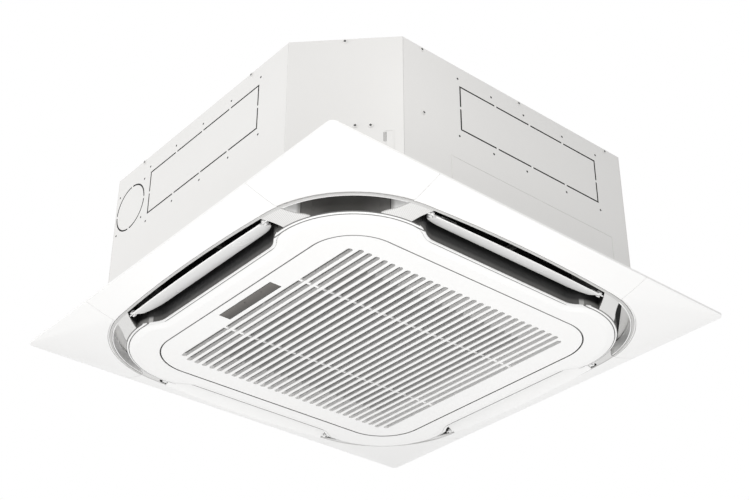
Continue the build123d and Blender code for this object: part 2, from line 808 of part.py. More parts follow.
# ================================================================ grille
def make_grille():
    corner_at = slot_half_length - slot_field_corner_r
    with BuildPart() as grille:
        extrude(rounded_square(0, grille_half, grille_corner_r), amount=grille_wall)
        fillet(grille.edges().group_by(Axis.Z)[0], grille_edge_r)
        with BuildSketch(Plane.XY.offset(grille_wall)):
            field = slot_half_length + slat_margin
            RectangleRounded(2 * field, 2 * field, slot_field_corner_r)
        extrude(amount=slat_depth - grille_wall)
        with BuildSketch(Plane.XY.offset(grille_wall)):
            inset = grille_flange_wall + grille_edge_r
            outer = grille_half - grille_edge_r
            add(rounded_square(0, outer, grille_corner_r - grille_edge_r))
            add(
                rounded_square(0, grille_half - inset, grille_corner_r - inset),
                mode=Mode.SUBTRACT,
            )
        extrude(amount=grille_flange - grille_wall)
        # slots, shorter where the field's corners are rounded
        with BuildSketch():
            for index in range(slot_count):
                x = index * slot_pitch - slot_first
                over = max(0.0, abs(x) - corner_at)
                drop = slot_field_corner_r - sqrt(slot_field_corner_r**2 - over**2)
                with Locations((x, 0)):
                    SlotOverall(2 * (slot_half_length - drop), slot_width, rotation=90)
        extrude(amount=slat_depth, mode=Mode.SUBTRACT)
        # two cross ribs behind the slots
        with BuildSketch(Plane.XY.offset(rib_recess)):
            with Locations((0, -rib_y), (0, rib_y)):
                Rectangle(2 * slot_half_length, rib_width)
        extrude(amount=rib_depth)
        # recess for the signal window
        with BuildSketch():
            with Locations((-window_x, 0)):
                Rectangle(window_width + 2 * window_gap, window_length + 2 * window_gap)
        extrude(amount=slat_depth, mode=Mode.SUBTRACT)
        with BuildSketch(Plane.XY.offset(grille_wall)):
            with Locations((-window_x, 0)):
                Rectangle(window_width + 2 * window_gap, window_length + 6 * window_wall)
        extrude(amount=slat_depth, mode=Mode.SUBTRACT)
        # arms bent round the opening's edge, with the pins at their ends
        neck_end = neck_r + neck_wall
        for y in (-hinge_y, hinge_y):
            with BuildSketch(Plane.XZ.offset(-y - neck_width / 2)):
                with Locations((-hinge_x, hinge_z)):
                    Circle(neck_end)
                    Circle(neck_r, mode=Mode.SUBTRACT)
                with Locations((neck_end / 2 - hinge_x, neck_end / 2 + hinge_z)):
                    Rectangle(neck_end, neck_end, mode=Mode.INTERSECT)
                with Locations((neck_r + neck_wall / 2 - hinge_x, (hinge_z + grille_wall) / 2)):
                    Rectangle(neck_wall, hinge_z - grille_wall)
                with Locations((-hinge_x, hinge_z + neck_end / 2 - neck_gap)):
                    Rectangle(neck_wall, neck_end)
                with Locations((-hinge_x, hinge_z)):
                    Circle(2 * hinge_pin_r)
            extrude(amount=neck_width)
            reach = neck_width / 2 + ear_gap + ear_wall
            with BuildSketch(Plane.XZ.offset(-y - reach)):
                with Locations((-hinge_x, hinge_z)):
                    Circle(hinge_pin_r)
            extrude(amount=2 * reach)
        # strikers for the catches
        with BuildSketch(Plane.XY.offset(grille_wall)):
            with Locations((catch_x, -catch_y), (catch_x, catch_y)):
                Rectangle(striker_size, striker_size)
        extrude(amount=striker_top - grille_wall)
    save(grille, "grille")


def make_filter():
    bottom = slat_depth + filter_gap
    with BuildPart() as frame:
        with BuildSketch(Plane.XY.offset(bottom)):
            RectangleRounded(2 * filter_half, 2 * filter_half, filter_frame_width)
            inner = 2 * (filter_half - filter_frame_width)
            Rectangle(inner, inner, mode=Mode.SUBTRACT)
            Rectangle(inner, filter_frame_width / 2)
            Rectangle(filter_frame_width / 2, inner)
        extrude(amount=filter_frame_height)
        # groove that the mesh is moulded into
        with BuildSketch(Plane.XY.offset(bottom + filter_mesh_wall)):
            inner = 2 * (filter_half - filter_frame_width / 2)
            Rectangle(inner, inner)
        extrude(amount=filter_mesh_wall, mode=Mode.SUBTRACT)
    save(frame, "filter_frame")
    with BuildPart() as mesh:
        with BuildSketch(Plane.XY.offset(bottom + filter_mesh_wall)):
            Rectangle(inner, inner)
        extrude(amount=filter_mesh_wall)
    save(mesh, "filter_mesh")


def make_display():
    with BuildPart() as window:
        with BuildSketch(Plane.XY.offset(window_gap)):
            with Locations((-window_x, 0)):
                Rectangle(window_width, window_length)
        extrude(amount=window_wall)
        with BuildSketch(Plane.XY.offset(grille_wall + window_gap)):
            with Locations((-window_x, 0)):
                Rectangle(window_width - window_wall, window_length + 2 * window_wall)
        extrude(amount=window_wall)
        with BuildSketch(Plane.XY.offset(window_wall)):
            with Locations((-window_x, 0)):
                Rectangle(window_width - 2 * window_wall, window_length)
        extrude(amount=window_wall)
    save(window, "display_window")
    with BuildPart() as board:
        with BuildSketch(Plane.XY.offset(board_z)):
            with Locations((-(grille_half + collar_gap - board_depth / 2), 0)):
                Rectangle(board_depth, window_length - 2 * window_width)
        extrude(amount=board_wall)
        with BuildSketch(Plane.XY.offset(board_z)):
            with GridLocations(0, window_width, 1, 4):
                with Locations((-window_x, 0)):
                    Circle(led_r)
        extrude(amount=-led_height)
    save(board, "display_board")


def make_catches():
    housing_bottom = striker_top + catch_gap + plunger_drop
    with BuildPart() as housings:
        with BuildSketch(Plane.XY.offset(housing_bottom)):
            with Locations((catch_x, -catch_y), (catch_x, catch_y)):
                Rectangle(catch_size, catch_size)
                well = plunger_size + 2 * slide_gap
                Rectangle(well, well, mode=Mode.SUBTRACT)
        extrude(amount=catch_height - panel_wall)
        with BuildSketch(Plane.XY.offset(housing_bottom + catch_height - panel_wall)):
            with Locations((catch_x, -catch_y), (catch_x, catch_y)):
                Rectangle(catch_size, catch_size)
        extrude(amount=panel_wall)
    save(housings, "catch_housings")
    for name, y in (("front", -catch_y), ("rear", catch_y)):
        with BuildPart() as plunger:
            with BuildSketch(Plane.XY.offset(striker_top + catch_gap)):
                with Locations((catch_x, y)):
                    Rectangle(plunger_size, plunger_size)
            room = catch_height - panel_wall - plunger_travel - slide_gap
            extrude(amount=plunger_drop + room)
            chamfer(plunger.edges().group_by(Axis.Z)[0], slide_gap)
        save(plunger, "catch_plunger_" + name)


def make_panel_screws():
    under = panel_top - web_wall - web_drop
    with BuildPart() as screws:
        for quarter in range(4):
            place = turned(panel_screw_x, panel_screw_y, 0, quarter)
            with BuildSketch(Plane.XY.offset(under - slide_gap - 2 * screw_head)):
                with Locations((place.X, place.Y)):
                    Circle(2 * panel_screw_r)
            extrude(amount=2 * screw_head)
            with BuildSketch(Plane.XY.offset(under - slide_gap)):
                with Locations((place.X, place.Y)):
                    Circle(panel_screw_r)
            extrude(amount=panel_screw_length)
    save(screws, "panel_screws")


# ================================================================ casing
def side_plane(quarter):
    """Casing's outer face on one side: x along the side, y up."""
    return turned_plane((body_half, 0, 0), (0, 1, 0), (1, 0, 0), quarter)


def corner_plane(quarter):
    """Casing's cut corner: x along the cut, y up."""
    middle = body_half - corner_cut / 2
    return turned_plane((middle, middle, 0), (-1, 1, 0), (1, 1, 0), quarter)


def dashed_rectangle(x, z, across, up):
    """Perforated outline of the duct knockout, with bridges left between its slits."""
    width = knockout_length
    height = knockout_height
    with Locations((x, z)):
        Rectangle(width + knockout_slit, height + knockout_slit)
        Rectangle(width - knockout_slit, height - knockout_slit, mode=Mode.SUBTRACT)
    for index in range(1, across):
        with Locations((x + width * (index / across - 0.5), z)):
            Rectangle(knockout_bridge, 2 * height, mode=Mode.SUBTRACT)
    for index in range(1, up):
        with Locations((x, z + height * (index / up - 0.5))):
            Rectangle(2 * width, knockout_bridge, mode=Mode.SUBTRACT)


def pressed_outline(x, width, top):
    """Pressed line round three sides of a rectangle that stands on the body's foot."""
    height = top - body_bottom
    with Locations((x, body_bottom + height / 2)):
        Rectangle(width, height)
    with Locations((x, body_bottom + height / 2 - press_line)):
        Rectangle(width - 2 * press_line, height, mode=Mode.SUBTRACT)


def make_casing():
    height = body_top - top_bead - body_bottom
    rows = (knockout_z - pilot_row, knockout_z + pilot_row)
    with BuildPart() as casing:
        extrude(body_outline(body_bottom), amount=height)
        extrude(body_outline(body_bottom, sheet), amount=height, mode=Mode.SUBTRACT)
        # flange turned in below the drain pan
        with BuildSketch(Plane.XY.offset(body_bottom)):
            add(body_outline(0, sheet / 2))
            add(body_outline(0, bottom_flange), mode=Mode.SUBTRACT)
            for quarter in range(4):
                hole = turned(panel_screw_x, panel_screw_y, 0, quarter)
                with Locations((hole.X, hole.Y)):
                    Circle(panel_screw_r + running_gap, mode=Mode.SUBTRACT)
        extrude(amount=sheet)
        # pressed outlines on the front and on the near cut corner
        with BuildSketch(side_plane(3)):
            pressed_outline(press_x, press_width, press_top)
        extrude(amount=press_height)
        with BuildSketch(corner_plane(2)):
            pressed_outline(tab_x, tab_width, tab_top)
        extrude(amount=press_height)
        # duct knockouts and their rows of pilot holes
        faces = ((2, side_knockout_x, side_row), (3, front_knockout_x, front_row))
        for quarter, middle, row in faces:
            with BuildSketch(side_plane(quarter)):
                dashed_rectangle(middle, knockout_z, across=4, up=2)
                with Locations(*[(middle + share * pilot_end, z) for share in row for z in rows]):
                    Circle(pilot_r)
            extrude(amount=-2 * sheet, mode=Mode.SUBTRACT)
        # round fresh-air knockout with its four holes
        with BuildSketch(side_plane(2)):
            with Locations((round_x, knockout_z)):
                Circle(round_r + knockout_slit / 2)
                Circle(round_r - knockout_slit / 2, mode=Mode.SUBTRACT)
                Rectangle(4 * round_r, knockout_bridge, mode=Mode.SUBTRACT)
                Rectangle(knockout_bridge, 4 * round_r, mode=Mode.SUBTRACT)
                with GridLocations(round_pitch, round_pitch, 2, 2):
                    Circle(pilot_r)
        extrude(amount=-2 * sheet, mode=Mode.SUBTRACT)
        # seams: one sheet for each side and one for each cut corner
        seam = flat_half - fold_lip
        with BuildSketch(Plane.XY.offset(body_bottom)):
            with GridLocations(2 * body_half, 2 * seam, 2, 2):
                Rectangle(4 * bottom_flange, slide_gap)
            with GridLocations(2 * seam, 2 * body_half, 2, 2):
                Rectangle(slide_gap, 4 * bottom_flange)
        extrude(amount=height, mode=Mode.SUBTRACT)
        # slot in the near cut corner
        with BuildSketch(corner_plane(2)):
            with Locations((corner_slot_x, corner_slot_z)):
                SlotOverall(corner_slot_length, 2 * pilot_r, rotation=90)
        extrude(amount=-2 * sheet, mode=Mode.SUBTRACT)
        # openings for the pipes, the cables and the drain
        with BuildSketch(side_plane(0)):
            with Locations((pipe_y, gas_z)):
                Circle(gas_r + nut_wall)
            with Locations((liquid_y, liquid_z)):
                Circle(liquid_r + nut_wall)
            with Locations(*cable_spots):
                Circle(cable_r + grommet_wall)
        extrude(amount=-2 * sheet, mode=Mode.SUBTRACT)
        with BuildSketch(side_plane(1)):
            with Locations((-pump_x, drain_z)):
                Circle(drain_r + slide_gap)
        extrude(amount=-2 * sheet, mode=Mode.SUBTRACT)
    save(casing, "casing")


def make_top_plate():
    with BuildPart() as top:
        extrude(body_outline(liner_top, sheet + slide_gap), amount=sheet)
        # pressed stiffening beads
        with BuildSketch(Plane.XY.offset(liner_top + sheet)):
            with GridLocations(0, bead_pitch, 1, 2):
                SlotOverall(bead_length, bead_width)
            with GridLocations(bead_pitch, 0, 2, 1):
                SlotOverall(bead_length, bead_width, rotation=90)
        extrude(amount=top_bead + top_recess)
        # welded studs that the motor hangs on
        with BuildSketch(Plane.XY.offset(liner_top)):
            with PolarLocations(motor_lug_r, 4, start_angle=45):
                Circle(stud_shoulder_r)
        extrude(amount=motor_lug_z + motor_lug_wall + mount_height - liner_top + slide_gap)
        with BuildSketch(Plane.XY.offset(stud_end)):
            with PolarLocations(motor_lug_r, 4, start_angle=45):
                Circle(stud_r)
        extrude(amount=liner_top - stud_end)
    save(top, "top_plate")


def make_casing_screws():
    with BuildPart() as screws:
        for quarter, spots in ((2, side_screws), (3, front_screws)):
            with BuildSketch(side_plane(quarter)):
                with Locations(*spots):
                    Circle(screw_head_r)
            extrude(amount=screw_head)
        with BuildSketch(corner_plane(2)):
            with Locations(*corner_screws):
                Circle(screw_head_r)
        extrude(amount=screw_head)
    save(screws, "casing_screws")


def make_liner():
    """Foam boards: a ceiling, four long walls and four corner walls."""
    bottom = pan_top + slide_gap
    ceiling = liner_top - slide_gap - liner_slab
    with BuildPart() as liner:
        extrude(body_outline(bottom, pan_inset), amount=ceiling - slide_gap - bottom)
        hollow = body_outline(bottom, pan_inset + liner_wall)
        extrude(hollow, amount=ceiling - bottom, mode=Mode.SUBTRACT)
        extrude(body_outline(ceiling, pan_inset), amount=liner_slab)
        with BuildSketch(Plane.XY.offset(ceiling)):
            Circle(liner_motor_hole_r)
        extrude(amount=liner_slab, mode=Mode.SUBTRACT)
        with BuildSketch(Plane.XY.offset(bottom)):
            with GridLocations(2 * body_half, 2 * flat_half, 2, 2):
                Rectangle(4 * liner_wall, slide_gap)
            with GridLocations(2 * flat_half, 2 * body_half, 2, 2):
                Rectangle(slide_gap, 4 * liner_wall)
        extrude(amount=ceiling - bottom, mode=Mode.SUBTRACT)
        # passages for the pipes, the cables and the drain
        with BuildSketch(side_plane(0)):
            with Locations((pipe_y, gas_z)):
                Circle(gas_r + nut_wall)
            with Locations((liquid_y, liquid_z)):
                Circle(liquid_r + nut_wall)
            with Locations(*cable_spots):
                Circle(cable_r + grommet_wall)
        extrude(amount=-2 * liner_wall, mode=Mode.SUBTRACT)
        with BuildSketch(side_plane(1)):
            with Locations((-pump_x, drain_z)):
                Circle(drain_r + slide_gap)
        extrude(amount=-2 * liner_wall, mode=Mode.SUBTRACT)
    save(liner, "insulation_liner")


def make_hanger_bracket(quarter):
    """Folded plate on a cut corner, slotted for the threaded rod."""
    with BuildPart() as bracket:
        with BuildSketch(corner_plane(quarter)):
            with Locations((0, hanger_z + hanger_height / 2)):
                Rectangle(hanger_width, hanger_height)
            with Locations((0, hanger_z + hanger_height / 2 + hanger_wall)):
                with GridLocations(hanger_width / 2, 0, 2, 1):
                    Circle(pilot_r, mode=Mode.SUBTRACT)
        extrude(amount=hanger_wall)
        fold = corner_plane(quarter)
        middle = body_half - corner_cut / 2
        foot = middle + hanger_reach / sqrt(2) / 2
        place = turned(foot, foot, hanger_z, quarter)
        with BuildSketch(Plane(origin=place, x_dir=fold.x_dir)):
            Rectangle(hanger_width, hanger_reach)
        extrude(amount=hanger_wall)
        slot_x = hanger_x if quarter in (0, 3) else -hanger_x
        slot_y = hanger_y if quarter in (0, 1) else -hanger_y
        with BuildSketch(Plane.XY.offset(hanger_z)):
            with Locations((slot_x, slot_y)):
                SlotOverall(hanger_slot_length, hanger_slot_width)
        extrude(amount=hanger_wall, mode=Mode.SUBTRACT)
    save(bracket, "hanger_bracket_" + CORNERS[quarter])


# ================================================================ coil and pipes
def make_coil():
    outer = coil_half + coil_wall / 2
    inner = coil_half - coil_wall / 2
    with BuildPart() as fins:
        with BuildSketch(Plane.XY.offset(coil_bottom)):
            RectangleRounded(2 * outer, 2 * outer, coil_corner_r + coil_wall / 2)
            RectangleRounded(
                2 * inner, 2 * inner, coil_corner_r - coil_wall / 2, mode=Mode.SUBTRACT
            )
            add(corner_mask(0, coil_open_from, outer + coil_wall, 0), mode=Mode.SUBTRACT)
        extrude(amount=coil_top - coil_bottom)
    save(fins, "coil_fins")
    with BuildPart() as plates:
        with BuildSketch(Plane.XY.offset(coil_bottom)):
            with Locations((coil_half, coil_open_from + end_plate_wall / 2)):
                Rectangle(coil_wall + trough_gap, end_plate_wall)
            with Locations((coil_open_from + end_plate_wall / 2, coil_half)):
                Rectangle(end_plate_wall, coil_wall + trough_gap)
        extrude(amount=coil_top - coil_bottom)
    save(plates, "coil_end_plates")


def make_coil_tubes():
    """Return bends on both ends of the coil, and the two headers."""
    face = coil_open_from + end_plate_wall
    with BuildPart() as tubes:
        for side in (-1, 1):
            x = coil_half + side * bend_r
            for index in range(bend_count):
                z = coil_bottom + bend_first + index * bend_pitch
                plane = Plane(origin=(x, face, z), x_dir=(1, 0, 0), z_dir=(0, 1, 0))
                with BuildSketch(plane):
                    Circle(tube_r)
                fold = Axis((x, face, z + bend_r), (1, 0, 0))
                revolve(axis=fold, revolution_arc=180)
        mirror(about=Plane(origin=(0, 0, 0), z_dir=(1, -1, 0)))
        # headers with their stubs and the pipes out to the unions
        for x, y, radius, z in (
            (gas_header_x, pipe_y, gas_r, gas_z),
            (liquid_header_x, liquid_y, liquid_r, liquid_z),
        ):
            with BuildSketch(Plane.XY.offset(header_bottom)):
                with Locations((x, y)):
                    Circle(radius)
            extrude(amount=header_height)
            with BuildSketch(Plane(origin=(x, face, 0), x_dir=(1, 0, 0), z_dir=(0, 1, 0))):
                with Locations(*[(0, -at) for at in stub_heights]):
                    Circle(radius / 2)
            extrude(amount=y - face)
            with BuildSketch(Plane(origin=(x, y, z), z_dir=(1, 0, 0))):
                Circle(radius)
            extrude(amount=union_start - slide_gap - x)
    save(tubes, "coil_tubes")


def make_partition():
    inner = coil_half - coil_wall / 2
    with BuildPart() as partition:
        with BuildSketch(Plane.XY.offset(coil_bottom)):
            with BuildLine():
                Polyline(
                    (inner, coil_open_from + 2 * end_plate_wall),
                    (inner, coil_open_from + 4 * end_plate_wall),
                    (coil_open_from + 4 * end_plate_wall, inner),
                    (coil_open_from + 2 * end_plate_wall, inner),
                    close=True,
                )
            make_face()
        extrude(amount=coil_top - coil_bottom)
    save(partition, "coil_partition")


def make_union(y, z, radius, name):
    """Pipe stub with a flare nut, open to the outside."""
    reach = body_half + pipe_reach - union_start
    with BuildPart() as union:
        stub = Plane(origin=(union_start, y, z), z_dir=(1, 0, 0))
        with BuildSketch(stub):
            Circle(radius)
        extrude(amount=reach - nut_length)
        nut = stub.offset(reach - nut_length)
        with BuildSketch(nut):
            RegularPolygon(radius + nut_wall, 6, major_radius=False)
        extrude(amount=nut_length)
        with BuildSketch(nut.offset(nut_end)):
            Circle(radius + nut_gap)
        extrude(amount=nut_length, mode=Mode.SUBTRACT)
        with BuildSketch(stub):
            Circle(radius - pipe_wall)
        extrude(amount=reach, mode=Mode.SUBTRACT)
    save(union, name)


def make_pipe_plate():
    with BuildPart() as plate:
        with BuildSketch(side_plane(0)):
            with Locations(((pipe_y + liquid_y) / 2, (gas_z + liquid_z) / 2)):
                RectangleRounded(pipe_plate_width, pipe_plate_height, screw_head_r)
                pitch = pipe_plate_height - 4 * screw_head_r
                with GridLocations(pipe_plate_width - 4 * screw_head_r, pitch, 2, 2):
                    Circle(pilot_r, mode=Mode.SUBTRACT)
            with Locations((pipe_y, gas_z)):
                Circle(gas_r + slide_gap, mode=Mode.SUBTRACT)
            with Locations((liquid_y, liquid_z)):
                Circle(liquid_r + slide_gap, mode=Mode.SUBTRACT)
        extrude(amount=pipe_plate_wall)
    save(plate, "pipe_plate")


def make_grommets():
    with BuildPart() as grommets:
        with BuildSketch(side_plane(0).offset(-sheet - grommet_wall)):
            with Locations(*cable_spots):
                Circle(cable_r + grommet_wall - slide_gap)
        extrude(amount=sheet + 2 * grommet_wall)
        with BuildSketch(side_plane(0).offset(slide_gap / 2)):
            with Locations(*cable_spots):
                Circle(cable_r + 2 * grommet_wall)
        extrude(amount=grommet_wall)
        with BuildSketch(side_plane(0).offset(-sheet - grommet_wall)):
            with Locations(*cable_spots):
                Circle(cable_r)
        extrude(amount=4 * grommet_wall, mode=Mode.SUBTRACT)
    save(grommets, "cable_grommets")


# ================================================================ drain
def make_drain_pan():
    height = pan_top - pan_bottom
    inner = coil_half - coil_wall / 2 - trough_gap
    outer = coil_half + coil_wall / 2 + trough_gap
    with BuildPart() as pan:
        with BuildSketch(Plane.XY.offset(pan_bottom)):
            RectangleRounded(2 * pan_half, 2 * pan_half, pan_wall)
        extrude(amount=height)
        # trough below the coil, and the sump in the pipe corner
        with BuildSketch(Plane.XY.offset(trough_bottom)):
            RectangleRounded(2 * outer, 2 * outer, coil_corner_r)
            RectangleRounded(2 * inner, 2 * inner, coil_corner_r / 2, mode=Mode.SUBTRACT)
            add(corner_mask(0, coil_open_from, outer, 0))
        extrude(amount=pan_top - trough_bottom, mode=Mode.SUBTRACT)
        # air inlet and the seat of the bell mouth
        with BuildSketch(Plane.XY.offset(pan_bottom)):
            Circle(bell_mouth_r + pan_gap)
        extrude(amount=height, mode=Mode.SUBTRACT)
        with BuildSketch(Plane.XY.offset(pan_bottom)):
            Circle(bell_flange_r + box_recess_gap)
            with Locations((box_x + box_width / 2, 0)):
                Rectangle(
                    box_width + 2 * box_recess_gap, box_length + 2 * box_recess_gap
                )
        recess = bell_z + bell_wall + slide_gap - pan_bottom
        extrude(amount=recess, mode=Mode.SUBTRACT)
        # drain hole below the sump
        with BuildSketch(Plane.XY.offset(pan_bottom)):
            with Locations((plug_x, plug_x)):
                Circle(plug_r + slide_gap)
        extrude(amount=height, mode=Mode.SUBTRACT)
    save(pan, "drain_pan")


def make_outlet_foam():
    """Foam blocks between the drain pan and the casing, with the air outlets."""
    height = pan_top - pan_bottom
    joint = outlet_end + pan_longer
    with BuildPart() as foam:
        extrude(body_outline(pan_bottom, pan_inset), amount=height)
        with BuildSketch(Plane.XY.offset(pan_bottom)):
            hole = pan_half + slide_gap
            RectangleRounded(2 * hole, 2 * hole, pan_wall + slide_gap)
        extrude(amount=height, mode=Mode.SUBTRACT)
        outlets = outlet_shape(pan_bottom, trim=pan_trim, longer=pan_longer, corners=False)
        extrude(outlets, amount=height, mode=Mode.SUBTRACT)
        # joints between the strips beside an outlet and the corner blocks
        with BuildSketch(Plane.XY.offset(pan_bottom)):
            with GridLocations(2 * body_half, 2 * joint, 2, 2):
                Rectangle(2 * (body_half - pan_half), slide_gap)
            with GridLocations(2 * joint, 2 * body_half, 2, 2):
                Rectangle(slide_gap, 2 * (body_half - pan_half))
        extrude(amount=height, mode=Mode.SUBTRACT)
        # room for the ends of the panel's screws
        with BuildSketch(Plane.XY.offset(pan_bottom)):
            for quarter in range(4):
                hole = turned(panel_screw_x, panel_screw_y, 0, quarter)
                with Locations((hole.X, hole.Y)):
                    Circle(2 * panel_screw_r - slide_gap)
        extrude(amount=panel_screw_length, mode=Mode.SUBTRACT)
    save(foam, "outlet_foam")


def make_drain_plug():
    with BuildPart() as plug:
        with BuildSketch(Plane.XY.offset(pan_bottom)):
            with Locations((plug_x, plug_x)):
                Circle(plug_r)
        extrude(amount=trough_bottom - pan_bottom)
    save(plug, "drain_plug")


def make_pump():
    with BuildPart() as pump:
        with BuildSketch(Plane.XY.offset(trough_bottom + slide_gap)):
            with Locations((pump_x, pump_y)):
                Circle(pump_r - pump_foot)
        extrude(amount=pump_foot)
        with BuildSketch(Plane.XY.offset(trough_bottom + slide_gap + pump_foot)):
            with Locations((pump_x, pump_y)):
                Circle(pump_r)
        extrude(amount=pump_height)
        with BuildSketch(Plane.XY.offset(pump_top)):
            with Locations((pump_x, pump_y)):
                Circle(hose_r - hose_wall)
        extrude(amount=hose_overlap)
    save(pump, "drain_pump")
    with BuildPart() as hose:
        with BuildLine():
            start = (pump_x, pump_y, pump_top + slide_gap)
            up = Line(start, (pump_x, pump_y, drain_z - hose_bend))
            turn_end = (pump_x, pump_y + hose_bend, drain_z)
            over = TangentArc(up @ 1, turn_end, tangent=up % 1)
            Line(over @ 1, (pump_x, drain_start - slide_gap, drain_z))
        with BuildSketch(Plane.XY.offset(pump_top + slide_gap)):
            with Locations((pump_x, pump_y)):
                Circle(hose_r)
                Circle(hose_r - hose_wall, mode=Mode.SUBTRACT)
        sweep()
    save(hose, "pump_hose")
    with BuildPart() as outlet:
        inside = side_plane(1).offset(drain_start - body_half)
        with BuildSketch(inside):
            with Locations((-pump_x, drain_z)):
                Circle(drain_r)
        extrude(amount=body_half + drain_reach - drain_start)
        with BuildSketch(side_plane(1)):
            with Locations((-pump_x, drain_z)):
                Circle(drain_r + 2 * drain_wall)
        extrude(amount=drain_wall)
        with BuildSketch(inside):
            with Locations((-pump_x, drain_z)):
                Circle(drain_r - drain_wall)
        extrude(amount=body_half + drain_reach - drain_start, mode=Mode.SUBTRACT)
    save(outlet, "drain_outlet")


def make_float_switch():
    base = trough_bottom + slide_gap
    top = base + pump_foot + 2 * float_height + float_travel
    with BuildPart() as stem:
        with BuildSketch(Plane.XY.offset(base)):
            with Locations((float_x, float_x)):
                Circle(float_r)
        extrude(amount=pump_foot / 2)
        with BuildSketch(Plane.XY.offset(base)):
            with Locations((float_x, float_x)):
                Circle(float_stem_r)
        extrude(amount=top - base)
        with BuildSketch(Plane.XY.offset(top)):
            with Locations((float_x, float_x)):
                Circle(float_r)
        extrude(amount=pump_foot / 2)
    save(stem, "float_stem")
    with BuildPart() as float_ring:
        with BuildSketch(Plane.XY.offset(base + pump_foot / 2 + slide_gap)):
            with Locations((float_x, float_x)):
                Circle(float_r)
                Circle(float_stem_r + slide_gap, mode=Mode.SUBTRACT)
        extrude(amount=float_height)
    save(float_ring, "float_ring")


# ================================================================ fan
def make_bell_mouth():
    centre_z = bell_z + bell_bend
    with BuildPart() as bell:
        with BuildSketch(Plane.XZ):
            with BuildLine():
                Line((bell_flange_r, bell_z), (bell_mouth_r, bell_z))
                CenterArc((bell_mouth_r, centre_z), bell_bend, 270, -90)
                throat = bell_mouth_r - bell_bend
                Line((throat, centre_z), (throat, bell_top))
                Line((throat, bell_top), (throat + bell_wall, bell_top))
                Line((throat + bell_wall, bell_top), (throat + bell_wall, centre_z))
                CenterArc((bell_mouth_r, centre_z), bell_bend - bell_wall, 180, 90)
                top = bell_z + bell_wall
                Line((bell_mouth_r, top), (bell_flange_r, top))
                Line((bell_flange_r, top), (bell_flange_r, bell_z))
            make_face()
        revolve(axis=Axis.Z)
    save(bell, "bell_mouth")


def blade_outline():
    """Backward-curved blade in plan, between its inner and outer radius."""
    sweep_angle = radians(blade_sweep)
    start = Vector(blade_inner_r, 0)
    end = Vector(fan_r * cos(sweep_angle), fan_r * sin(sweep_angle))
    chord = end - start
    across = Vector(chord.Y, -chord.X).normalized() * (blade_wall / 2)
    bow = Vector(chord.Y, -chord.X) * blade_bow
    middle = (start + end) / 2 + bow
    with BuildSketch() as shape:
        with BuildLine():
            outer = ThreePointArc(start + across, middle + across, end + across)
            inner = ThreePointArc(start - across, middle - across, end - across)
            Line(outer @ 0, inner @ 0)
            Line(outer @ 1, inner @ 1)
        make_face()
    return shape.sketch


def make_fan():
    blade = blade_outline()
    bend_z = fan_shroud_top - fan_bend
    with BuildPart() as fan:
        with BuildSketch(Plane.XY.offset(bell_top + fan_wall)):
            with PolarLocations(0, blade_count):
                add(blade)
        extrude(amount=fan_hub_z - fan_wall / 2 - bell_top - fan_wall)
        # blades end at the shroud and at the fan's rim
        with BuildSketch(Plane.XZ):
            with BuildLine():
                Line((fan_eye_r, 0), (fan_eye_r, bend_z))
                CenterArc((fan_eye_r + fan_bend, bend_z), fan_bend, 180, -90)
                Line((fan_eye_r + fan_bend, fan_shroud_top), (2 * fan_r, fan_shroud_top))
                Line((2 * fan_r, fan_shroud_top), (2 * fan_r, 0))
                Line((2 * fan_r, 0), (fan_eye_r, 0))
            make_face()
        revolve(axis=Axis.Z, mode=Mode.SUBTRACT)
        with BuildSketch(Plane.XY):
            Circle(fan_r)
        extrude(amount=fan_hub_z, mode=Mode.INTERSECT)
        # shroud, hub with its nose, and boss
        with BuildSketch(Plane.XZ):
            with BuildLine():
                Line((fan_eye_r, fan_bottom), (fan_eye_r, bend_z))
                CenterArc((fan_eye_r + fan_bend, bend_z), fan_bend, 180, -90)
                Line((fan_eye_r + fan_bend, fan_shroud_top), (fan_r, fan_shroud_top))
                low = fan_shroud_top - fan_wall
                Line((fan_r, fan_shroud_top), (fan_r, low))
                Line((fan_r, low), (fan_eye_r + fan_bend, low))
                CenterArc((fan_eye_r + fan_bend, bend_z), fan_bend - fan_wall, 90, 90)
                side = fan_eye_r + fan_wall
                Line((side, bend_z), (side, fan_bottom))
                Line((side, fan_bottom), (fan_eye_r, fan_bottom))
            make_face()
            with BuildLine():
                Polyline(
                    (shaft_r, fan_nose_z),
                    (fan_nose_r, fan_nose_z),
                    (fan_hub_r, fan_hub_z - fan_wall),
                    (fan_r, fan_hub_z - fan_wall),
                    (fan_r, fan_hub_z),
                    (fan_hub_r - fan_wall, fan_hub_z),
                    (fan_nose_r - fan_wall, fan_nose_z + fan_wall),
                    (shaft_r, fan_nose_z + fan_wall),
                    close=True,
                )
            make_face()
            with Locations(((shaft_r + boss_r) / 2, (boss_top + boss_bottom) / 2)):
                Rectangle(boss_r - shaft_r, boss_top - boss_bottom)
        revolve(axis=Axis.Z)
        with BuildSketch(Plane.XY):
            Circle(shaft_r + press_gap)
        extrude(amount=body_top, mode=Mode.SUBTRACT)
    save(fan, "turbo_fan")


def make_shaft():
    with BuildPart() as shaft:
        with BuildSketch(Plane.XY.offset(boss_bottom - nut_height - slide_gap)):
            Circle(shaft_r)
        extrude(amount=shaft_top - boss_bottom + nut_height + slide_gap)
    save(shaft, "motor_shaft")
    with BuildPart() as nut:
        with BuildSketch(Plane.XY.offset(boss_bottom - nut_height)):
            RegularPolygon(nut_r, 6)
            Circle(shaft_r + press_gap, mode=Mode.SUBTRACT)
        extrude(amount=nut_height)
    save(nut, "fan_nut")


